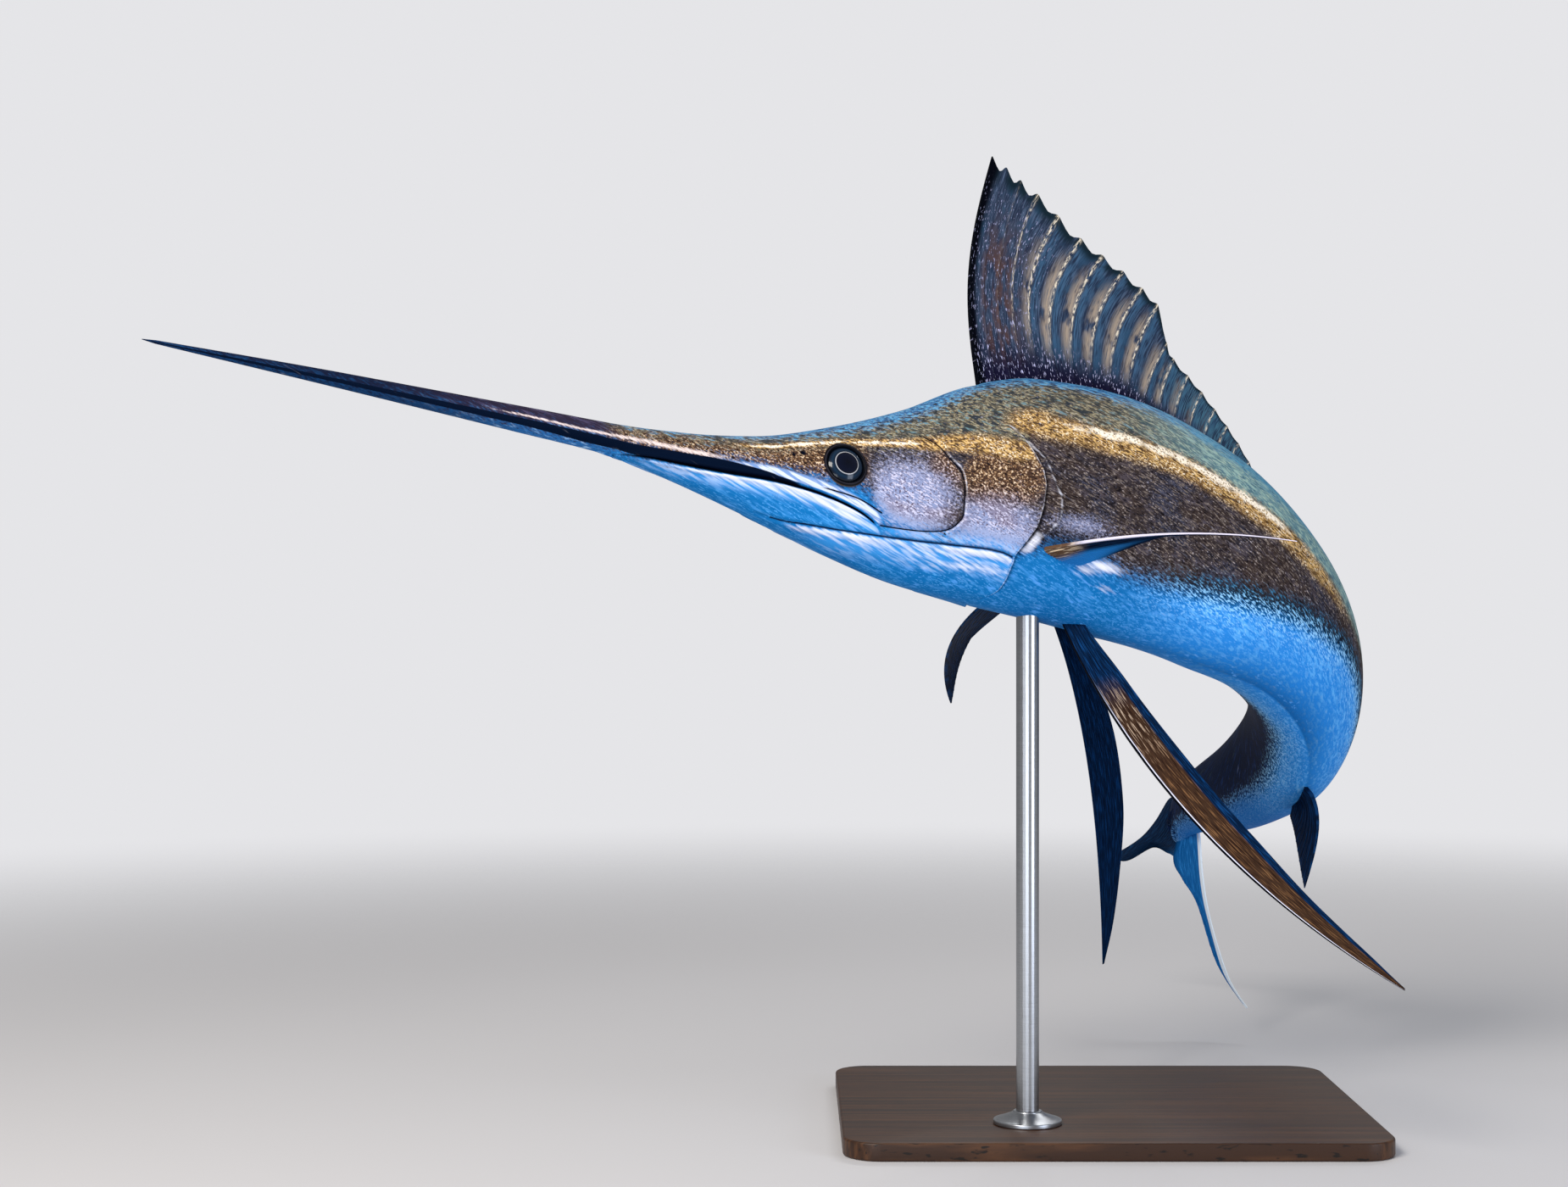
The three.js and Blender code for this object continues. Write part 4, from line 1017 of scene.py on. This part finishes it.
SAIL = fin_paint(
    "sprayed resin sail, cream spines", "#232d42",
    ("#46566e", ("streak", 0.42, 0.66)), ("#2c4660", ("cloud", 0.48, 0.66)),
    ("#4a3a3c", ("ray", 0.5, 1.2), ("ray", 4.5, 2.4), ("out", 0.95, 0.55), ("cloud", 0.4, 0.6)),
    ("#9f9080", "before", ("ray", 2.5, 5), ("ray", 15, 10), ("out", 0.1, 0.35), ("out", 0.94, 0.66),
     ("cloud", 0.32, 0.48), ("streak", 0.24, 0.52)),
    ("#3d6080", "behind", ("ray", 2.5, 5), ("out", 0.08, 0.4), ("streak", 0.3, 0.6)),
    ("#40697f", ("ray", 9, 14), ("out", 0.2, 0.5), ("streak", 0.4, 0.6)), ("#14132a", ("out", 0.26, 0.04)),
    ("#14242e", ("out", 0.9, 0.985), ("cloud", 0.3, 0.5)), ("#04060e", ("ray", 0.7, 0.25)),
    ("#efe2ca", "spine", ("ray", 1.5, 4), ("out", 0.12, 0.5), ("fleck", 0.44, 0.58)),
    ("#c4c3e8", ("fleck", 0.6, 0.66), ("out", 0.3, 0.1)),
    ("#a3a6cc", ("fleck", 0.62, 0.68), ("ray", 5, 3.5), ("out", 0.98, 0.8)), rough=0.36)
NAVY_FIN = fin_paint(
    "sprayed resin membrane, navy", "#02132c",
    ("#072c58", ("streak", 0.46, 0.72)), ("#0f3864", "spine", ("streak", 0.4, 0.6)))
by_root = [("out", 0.16, 0.04), ("wide", 0.6, 0.2)]
# The pale leading edge of the left pectoral fin is a painted highlight.
PECTORAL_FIN = fin_paint(
    "sprayed resin membrane, navy with a pale edge", "#050f24",
    ("#0f2e52", ("streak", 0.44, 0.7)), ("#2478be", ("out", 0.55, 0.2), ("wide", 0.2, 0.45)),
    ("#5d4636", *by_root), ("#d8c2a4", *by_root, ("streak", 0.52, 0.6)),
    ("#d9d5ea", ("lead", 0.2, 0.7), ("out", 0.05, 0.15)))
brown = [("wide", 0.08, 0.1), ("wide", 0.76, 0.71), ("out", 0.12, 0.22)]
# The white line near the pelvic fin's leading edge is a painted highlight.
PELVIC_FIN = fin_paint(
    "sprayed resin membrane, brown between navy edges", "#051832",
    ("#0f3d70", ("streak", 0.46, 0.7)), ("#3c2a1f", *brown), ("#745438", *brown, ("streak", 0.54, 0.66)),
    ("#261812", *brown, ("streak", 0.46, 0.36)),
    ("#a89684", *brown, ("out", 0.4, 0.2), ("streak", 0.56, 0.62)),
    ("#dcdce8", ("wide", 0.045, 0.055), ("wide", 0.085, 0.07), ("out", 0.1, 0.3), ("streak", 0.3, 0.45)),
    ("#02040b", ("wide", 0.05, 0.04)))
# The white leading edge of the tail's lower lobe is a painted highlight.
TAIL_FIN = fin_paint(
    "sprayed resin membrane, blue", "#125c9c",
    ("#2c84cc", ("streak", 0.44, 0.7)), ("#0d4a80", ("wide", 0.55, 0.95)),
    ("#e4f0fa", ("lead", 0.2, 0.7), ("out", 0.1, 0.3)))
DARK_TAIL_FIN = fin_paint(
    "sprayed resin membrane, dark blue", "#061c38",
    ("#0f3357", ("streak", 0.44, 0.7)), ("#10538b", ("wide", 0.5, 0.95)),
    ("#1c74b6", ("out", 0.4, 0.05), ("wide", 0.35, 0.8)))

# %% [markdown]
# ## Fins of the back and belly
# The first back fin of a marlin is a tall front lobe that sweeps back and then runs low along the back.
# Each ray rises from a base station to a height, leans toward the tail and bows a little. Curves over the
# base give these, so the margin falls out of the rays as it does on the fish. The membrane is cut in
# slightly between ray tips.

# %% Ridge fins
# How wide a ray's tip stands out of the margin, in gaps between rays
TIP_WIDTH = 0.3


def level(value):
    """A curve that has one value everywhere."""
    return lambda foot: value + 0 * foot


SMALL = {"rays": 7, "rows": 12, "sunk": 8, "scallop": 0.05, "membrane": (2.4, 0.9), "ridge": (0.9, 0.3),
         "bow": level(-4), "sway": level(0), "paint": NAVY_FIN}
# Each has its first and last station and, over them, height, lean, bow and sway in millimetres
RIDGE_FINS = {
    "dorsal_fin": {
        "from": -82, "to": 385, "rays": 21, "rows": 30, "sunk": 10, "way": 1, "scallop": 0.045,
        "membrane": (4.6, 1.1), "ridge": (2.0, 0.6), "paint": SAIL, "sway": level(0),
        "height": through([-82, -35, -8, 32, 98, 128, 150, 224, 340, 385],
                          [309, 275, 256, 212, 177, 163, 116, 79, 36, 9]),
        "lean": through([-82, -8, 54, 110, 140, 176, 240, 385], [30, 26, 36, 42, 38, 20, 18, 10]),
        "bow": through([-82, -8, 100, 150, 385], [-24, -28, -13, -4, -2])},
    "second_dorsal_fin": {
        **SMALL, "from": 1052, "to": 1106, "way": 1,
        "height": through([1052, 1064, 1106], [30, 36, 11]), "lean": through([1052, 1106], [30, 50])},
    "anal_fin": {
        "from": 644, "to": 708, "rays": 14, "rows": 20, "sunk": 10, "way": -1, "scallop": 0.04,
        "membrane": (4, 1), "ridge": (1.5, 0.4), "paint": NAVY_FIN,
        "height": through([644, 656, 680, 708], [121, 100, 36, 9]), "lean": through([644, 708], [66, 20]),
        "bow": through([644, 708], [-12, 0]), "sway": through([644, 700], [15, 0])},
    "second_anal_fin": {
        **SMALL, "from": 930, "to": 988, "way": -1,
        "height": through([930, 943, 988], [30, 36, 12]), "lean": through([930, 988], [30, 54])},
}


def ridge_fin(name, fin):
    """A ray's point: its foot plus lean and bow along the fish, and its height times the way out."""
    root = back_at if fin["way"] > 0 else belly_at

    def point(u, v):
        foot = fin["from"] + (fin["to"] - fin["from"]) * u
        reach = np.maximum(v, 0)
        place = foot + fin["lean"](foot) * reach + fin["bow"](foot) * np.sin(np.pi * reach)
        margin = 1 - fin["scallop"] * (1 - ridge(from_ray(u, fin["rays"]), TIP_WIDTH)) * reach ** 3
        aside = fin["sway"](foot) * np.sin(np.pi * reach ** 0.7)
        rise = np.where(v < 0, v * fin["sunk"], v * fin["height"](foot) * margin)
        return section_point(place, aside, root(place) + fin["way"] * rise)

    make_blade(name, fin, point, fin_half, rows_out(fin["rows"], 1), fin["paint"], "navy_fin")


for name, fin in RIDGE_FINS.items():
    ridge_fin(name, fin)

# %% [markdown]
# ## Paired fins and the tail
# The other fins hang between a leading and a trailing edge. A pectoral fin is a stiff narrow wing, a pelvic
# fin a long thin blade, and the tail two crescent lobes. Each edge is a curve from the root to the tip, and
# the blade is what lies between them. A fan number says where the last ray ends on the trailing edge.

# %% Fins between two edges
# The share of the thickness that stays at the edges, the power that flattens the arch between them, and
# the least half thickness in millimetres
EDGE_SHARE, ARCH_POWER, LEAST_EDGE_HALF = 0.4, 0.4, 0.25


def between(lead, trail, fan):
    """The middle surface: the share across, then a line from the leading to the trailing edge.

    With a fan under 1 the rays end one after another along the trailing edge: the share outward is
    shortened toward the last ray, and the share across is raised to the power of what is left.
    """
    def point(u, v):
        start, reach = np.clip(u, 0, 1), np.clip(v, 0, 1)
        share = (start ** (1 - reach) if fan < 1 else start)[..., None]
        far = v * (1 + (fan - 1) * start)
        return lead(far) * (1 - share) + trail(far) * share

    return point


def span_half(fin, u, v):
    """Half the thickness: a share of the blade's at either edge, and all of it midway by a flat arch."""
    start = np.clip(u, 0, 1)
    arch = (4 * start * (1 - start)) ** ARCH_POWER
    return np.maximum(fin_half(fin, u, v) * (EDGE_SHARE + (1 - EDGE_SHARE) * arch), LEAST_EDGE_HALF)


def way_at(station, flank, parts):
    """A way in the fish's own frame: so much to the tail, so much to that side, so much up."""
    _, tail, left, up = frame_at(np.array(float(station)))
    return unit(tail * parts[0] + left * flank * parts[1] + up * parts[2])


# %% The paired fins
# The leading edge's first and last way, and the way across the root and the tip: tail, side, up
PECTORAL = {
    "station": -12, "angle": 128, "length": 350, "chord": 50, "turn": 2.2, "fan": 0.35, "rays": 14,
    "membrane": (9, 1.3), "ridge": (1.1, 0.35), "sunk": 12, "rows": 34,
    "taper": through([0, 0.25, 0.5, 0.75, 0.9, 1], [1.05, 1.1, 0.92, 0.6, 0.32, 0.05]),
}
PELVIC = {
    "station": 60, "angle": 171, "chord": 48, "turn": 1, "fan": 1, "rays": 9, "membrane": (4, 1.1),
    "ridge": (1.0, 0.35), "sunk": 10, "rows": 46,
    "taper": through([0, 0.15, 0.4, 0.6, 0.8, 0.92, 1], [0.55, 0.85, 1, 0.95, 0.66, 0.38, 0.06]),
}
PAIRED_FINS = {
    "pectoral_fin_left": {
        **PECTORAL, "side": 1, "paint": PECTORAL_FIN, "first": (0.38, 0.92, -0.03),
        "last": (0.2, 0.91, -0.35), "root_chord": (0.84, -0.48, -0.24), "tip_chord": (0.65, -0.71, 0.28)},
    "pectoral_fin_right": {
        **PECTORAL, "side": -1, "paint": NAVY_FIN, "station": -4, "angle": 135, "first": (0.12, 0.99, -0.07),
        "last": (0.66, 0.72, -0.21), "root_chord": (0.85, -0.47, 0.23), "tip_chord": (0.88, 0.29, 0.38)},
    "pelvic_fin_left": {
        **PELVIC, "side": 1, "paint": PELVIC_FIN, "length": 631, "first": (0.21, 0.35, -0.91),
        "last": (0.75, 0.43, -0.5), "root_chord": (0.9, 0.39, 0.18), "tip_chord": (0.14, -0.21, 0.97)},
    "pelvic_fin_right": {
        **PELVIC, "side": -1, "paint": NAVY_FIN, "length": 570, "first": (0.69, 0.64, -0.32),
        "last": (0.22, 0.29, -0.93), "root_chord": (0.99, 0.01, -0.17), "tip_chord": (0.8, -0.21, 0.56)},
}


def paired_fin(name, fin):
    """The leading edge turns evenly from its first to its last way; the chord sets the trailing one."""
    root = skin_point(np.array(float(fin["station"])), np.array(fin["side"] * math.radians(fin["angle"])))
    first, last, root_chord, tip_chord = (way_at(fin["station"], fin["side"], fin[way])
                                          for way in ("first", "last", "root_chord", "tip_chord"))
    start = root - root_chord * fin["chord"] / 2

    def lead(v):
        bent = (v * np.abs(v) / 2)[..., None]
        return start + fin["length"] * (first * (v[..., None] - bent) + last * bent)

    def trail(v):
        mix = np.clip(v * fin["turn"], 0, 1)[..., None]
        chord = unit(root_chord * (1 - mix) + tip_chord * mix) * fin["chord"]
        return lead(v) + chord * fin["taper"](v)[..., None]

    make_blade(name, fin, between(lead, trail, fin["fan"]), span_half,
               rows_out(fin["rows"], fin["sunk"] / fin["length"]), fin["paint"], "navy_fin")


for name, fin in PAIRED_FINS.items():
    paired_fin(name, fin)

# %% The tail's two lobes
# The tail's turns against the stalk are in degrees. A lobe's knots are millimetres back and outward.
TAIL = {"station": 1167, "bend": 23.8, "yaw": 11.8, "roll": -6.6, "fan": 0.25, "rays": 24, "rows": 44,
        "membrane": (10, 1.1), "ridge": (1.5, 0.4)}
LEADING = [(-34, 26), (-13, 58), (46, 94), (99, 135), (158, 200), (179, 252)]
TRAILING = [(-22, 1), (56, 1), (74, 40), (90, 90), (154, 165), (182, 250)]
# Which way each lobe rises, how far it flexes aside, how far its tip curls, and its paint
LOBES = {"tail_fin_upper": (1, -14, 26, DARK_TAIL_FIN), "tail_fin_lower": (-1, 9, 0, TAIL_FIN)}


def spline(knots):
    """A curve through all its knots.

    Each stretch is a cubic. Its slope at a knot is half the way between the neighbours on either side.
    """
    knots = np.array(knots, float)

    def curve(t):
        x = np.clip(t, 0, 1) * (len(knots) - 1)
        i = np.minimum(x.astype(int), len(knots) - 2)
        w = (x - i)[..., None]
        before, start = knots[np.maximum(i - 1, 0)], knots[i]
        end, after = knots[i + 1], knots[np.minimum(i + 2, len(knots) - 1)]
        slope_in, slope_out = (end - before) / 2, (after - start) / 2
        return ((2 * start - 2 * end + slope_in + slope_out) * w ** 3
                + (3 * end - 3 * start - 2 * slope_in - slope_out) * w ** 2 + slope_in * w + start)

    return curve


def tail_lobe(name, way, flex, curl, material):
    """A blade between two splines in the tail's own plane, back and outward from the stalk.

    The lobe flexes to one side by a sine of the share outward, and its tip curls to the left by the
    share's fifth power.
    """
    at, tail, left, up = frame_at(np.array(float(TAIL["station"])))
    ways = [tail, left, up]
    for axis, turn in ((tail, TAIL["roll"]), (up, TAIL["yaw"]), (left, -TAIL["bend"])):
        ways = [turned(one, axis, math.radians(turn)) for one in ways]
    back, aside, rise = ways

    def edge(knots):
        curve = spline(knots)

        def place(v):
            spot = curve(v)
            share = np.clip(v, 0, 1)[..., None]
            bent = curl * share ** 5 - flex * np.sin(np.pi * share)
            return at + back * spot[..., :1] + rise * way * np.maximum(spot[..., 1:], 1) + aside * bent

        return place

    make_blade(name, TAIL, between(edge(LEADING), edge(TRAILING), TAIL["fan"]), span_half,
               rows_out(TAIL["rows"], 0)[1:], material, "blue_fin")


for name, lobe in LOBES.items():
    tail_lobe(name, *lobe)

# %% [markdown]
# ## The stand
# A plain stand carries the fish: a dark wooden base plate, a turned foot and one steel rod. The solids
# already have their sizes, so each finer piece reads its node's box. Rounded edges catch the light as
# planed wood and turned metal do.

# %% Stand materials
# Walnut's grain is drawn 5 mm wide and its pores 0.9 mm. The steel's brush marks, drawn 0.4 mm wide, run
# round the rod.
stained_wood, tree, shader = new_material("walnut, dark stain, satin varnish", Roughness=0.45, IOR=1.5,
                                          Specular_IOR_Level=0.3)
place = add_node(tree, "ShaderNodeTexCoord").outputs["Object"]
noises = {"grain": speckles(tree, place, (260, 5, 40), 4.0), "pore": speckles(tree, place, (22, 0.9, 8)),
          "board": speckles(tree, place, (900, 60, 90))}
colour = painted(tree, noises, "#2a1910", ("#382214", ("board", 0.35, 0.65)),
                 ("#4c301c", ("grain", 0.45, 0.62)), ("#150c07", ("pore", 0.6, 0.68)))
finish_paint(tree, shader, colour, noises["pore"], 0.12)

steel, tree, shader = new_material("brushed stainless steel", Roughness=0.3, Metallic=1.0)
place = add_node(tree, "ShaderNodeTexCoord").outputs["Object"]
brush = speckles(tree, place, (16, 16, 0.4))
tree.links.new(painted(tree, {}, "#8f9296", ("#b9bcc0", brush)), shader.inputs["Base Color"])
rough = add_node(tree, "ShaderNodeMapRange", {"Value": brush, "To Min": 0.22, "To Max": 0.42})
tree.links.new(rough.outputs["Result"], shader.inputs["Roughness"])
print("the stand is finished in", stained_wood.name, "and", steel.name)

# %% The base plate
# Radii of the plate's corners, seen from above, and of its rounded edge
BASE_CORNER, BASE_ROUND = 45, 3


def node_box(node):
    """A node's lowest and highest corner in millimetres."""
    low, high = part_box(node)
    return np.array(low) / MM, np.array(high) / MM


low, high = node_box("stand_base")
half, middle = (high - low)[:2] / 2, (high + low)[:2] / 2
corners = circle(192)
t = np.linspace(0, math.pi / 2, 6)
inset, lift = BASE_ROUND * (1 - np.sin(t)), BASE_ROUND * (1 - np.cos(t))
inset, z = np.append(inset, inset[::-1]), np.append(low[2] + lift, high[2] - lift[::-1])
flat = middle + np.sign(corners) * (half - BASE_CORNER) + (BASE_CORNER - inset)[:, None, None] * corners
make_rings("stand_base_plate", np.dstack([flat, np.broadcast_to(z[:, None], flat.shape[:2])]),
           np.array([[*middle, low[2]], [*middle, high[2]]]), stained_wood, "stand_wood", ["stand_base"],
           crease=50)

# %% The foot


def arc(centre, radius, start, end, count=6):
    """Points of an arc, from one angle in degrees to another."""
    t = np.radians(np.linspace(start, end, count))
    return [(centre[0] + radius * math.cos(a), centre[1] + radius * math.sin(a)) for a in t]


def lathe(name, centre, profile, material, slot, node, sides=96):
    """A profile of radii and heights carried once round an upright axis, closed on it at both ends."""
    radius, height = np.array(profile, float).T[..., None]
    turn = circle(sides)
    rings = [centre[0] + radius * turn[:, 0], centre[1] + radius * turn[:, 1], height + 0 * turn[:, 0]]
    ends = [[*centre, *height[0]], [*centre, *height[-1]]]
    make_rings(name, np.stack(rings, -1)[1:-1], ends, material, slot, [node], crease=35)


rod_low, rod_high = node_box("stand_rod")
rod_radius = (rod_high - rod_low)[0] / 2
foot_low, foot_high = node_box("stand_foot")
foot_radius = (foot_high - foot_low)[0] / 2
low, high = foot_low[2], foot_high[2]
lathe("stand_foot_turned", (rod_low + rod_high)[:2] / 2,
      [(0, low), (foot_radius - 0.8, low), (foot_radius, low + 0.8)]
      + arc((foot_radius - 1.5, low + 4), 1.5, 0, 90)
      + [(foot_radius - 4, low + 6.2), (rod_radius + 8, high - 4), (rod_radius + 4.5, high - 1.6)]
      + arc((rod_radius + 2.5, high - 1.5), 1.5, 0, 90) + [(0, high)],
      steel, "stand_steel", "stand_foot")

# %% The rod
# The solid rod is already round and cut to the belly, so it stays and only takes the steel.
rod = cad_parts["stand_rod"]
rod.data.materials.clear()
rod.data.materials.append(steel)
print("the rod is", round(2 * rod_radius), "mm thick and", round(rod_high[2] - rod_low[2]), "mm tall")

# %% [markdown]
# ## Floor, light and camera
# The floor is a pale disc that fades out, so that no horizon cuts the picture. Four large soft lights
# model a studio: a key from the upper left, a fill from the right, a low one in front of the belly and a
# strip behind the back.

# %% Floor
FLOOR_NEAR, FLOOR_FAR, FLOOR_SUNK = 1.5, 4.5, 0.0002
floor_paint, tree, shader = new_material("pale matt floor", Roughness=0.85)
shader.inputs["Base Color"].default_value = linear("#cfcfd2")
place = add_node(tree, "ShaderNodeTexCoord").outputs["Object"]
length = add_node(tree, "ShaderNodeVectorMath", {0: place}, operation="LENGTH").outputs["Value"]
tree.links.new(rising(tree, length, FLOOR_FAR, FLOOR_NEAR), shader.inputs["Alpha"])
disc = FLOOR_FAR * circle(96)
floor_mesh = bpy.data.meshes.new("floor")
floor_mesh.from_pydata([(x, y, -FLOOR_SUNK) for x, y in disc.tolist()], [], [list(range(len(disc)))])
floor_mesh.materials.append(floor_paint)
floor = bpy.data.objects.new("floor", floor_mesh)
bpy.context.collection.objects.link(floor)
print("the floor is", 2 * FLOOR_FAR, "m across")

# %% Lights
TARGET = (-0.25, 0.1, 0.65)
# How bright the world is as a light, and how bright the camera sees it
WORLD_LIGHT, WORLD_SEEN = 0.3, 0.9


def soft_light(name, place, size, power, hex_colour):
    """A rectangle of light at a place, turned toward the middle of the fish."""
    data = bpy.data.lights.new(name, "AREA")
    data.shape = "RECTANGLE"
    data.size, data.size_y = size
    data.energy = power
    data.color = linear(hex_colour)[:3]
    light = bpy.data.objects.new(name, data)
    light.location = place
    x, y, z = np.array(TARGET) - np.array(place)
    light.rotation_euler = (math.atan2(math.hypot(x, y), -z), 0, math.atan2(x, -y) + math.pi)
    bpy.context.collection.objects.link(light)


soft_light("key", (-1.9, -2.7, 3.0), (1.6, 1.2), 150, "#fff8ef")
soft_light("fill", (2.3, -2.2, 0.6), (1.2, 1.6), 44, "#e8f0ff")
soft_light("front_low", (-1.2, -3.2, 0.3), (1.8, 0.8), 32, "#eef4ff")
soft_light("back_strip", (0.9, 2.4, 2.6), (2.4, 0.5), 28, "#ffffff")
world = bpy.data.worlds.new("studio")
world.use_nodes = True
tree = world.node_tree
backdrop = tree.nodes["Background"]
backdrop.inputs["Color"].default_value = linear("#f0f0f3")
on_camera = add_node(tree, "ShaderNodeLightPath").outputs["Is Camera Ray"]
strength = add_node(tree, "ShaderNodeMapRange", {"Value": on_camera, "To Min": WORLD_LIGHT,
                                                 "To Max": WORLD_SEEN})
tree.links.new(strength.outputs["Result"], backdrop.inputs["Strength"])
bpy.context.scene.world = world
bpy.context.scene.view_settings.view_transform = "Standard"
print("the scene has", len(bpy.data.lights), "lights")

# %% Camera
# The lens gives the photo's angle of view: sensor width times focal length in pixels over picture width.
PICTURE_WIDTH, FOCAL_PIXELS, SENSOR_WIDTH = 1850, 3142.857, 36
camera_data = bpy.data.cameras.new("camera")
camera_data.sensor_width = SENSOR_WIDTH
camera_data.lens = SENSOR_WIDTH * FOCAL_PIXELS / PICTURE_WIDTH
camera = bpy.data.objects.new("camera", camera_data)
camera.location = (-0.4, -3.4, 0.67)
camera.rotation_euler = (math.radians(90), 0, 0)
bpy.context.collection.objects.link(camera)
bpy.context.scene.camera = camera
print("the lens is", round(camera_data.lens, 1), "mm")
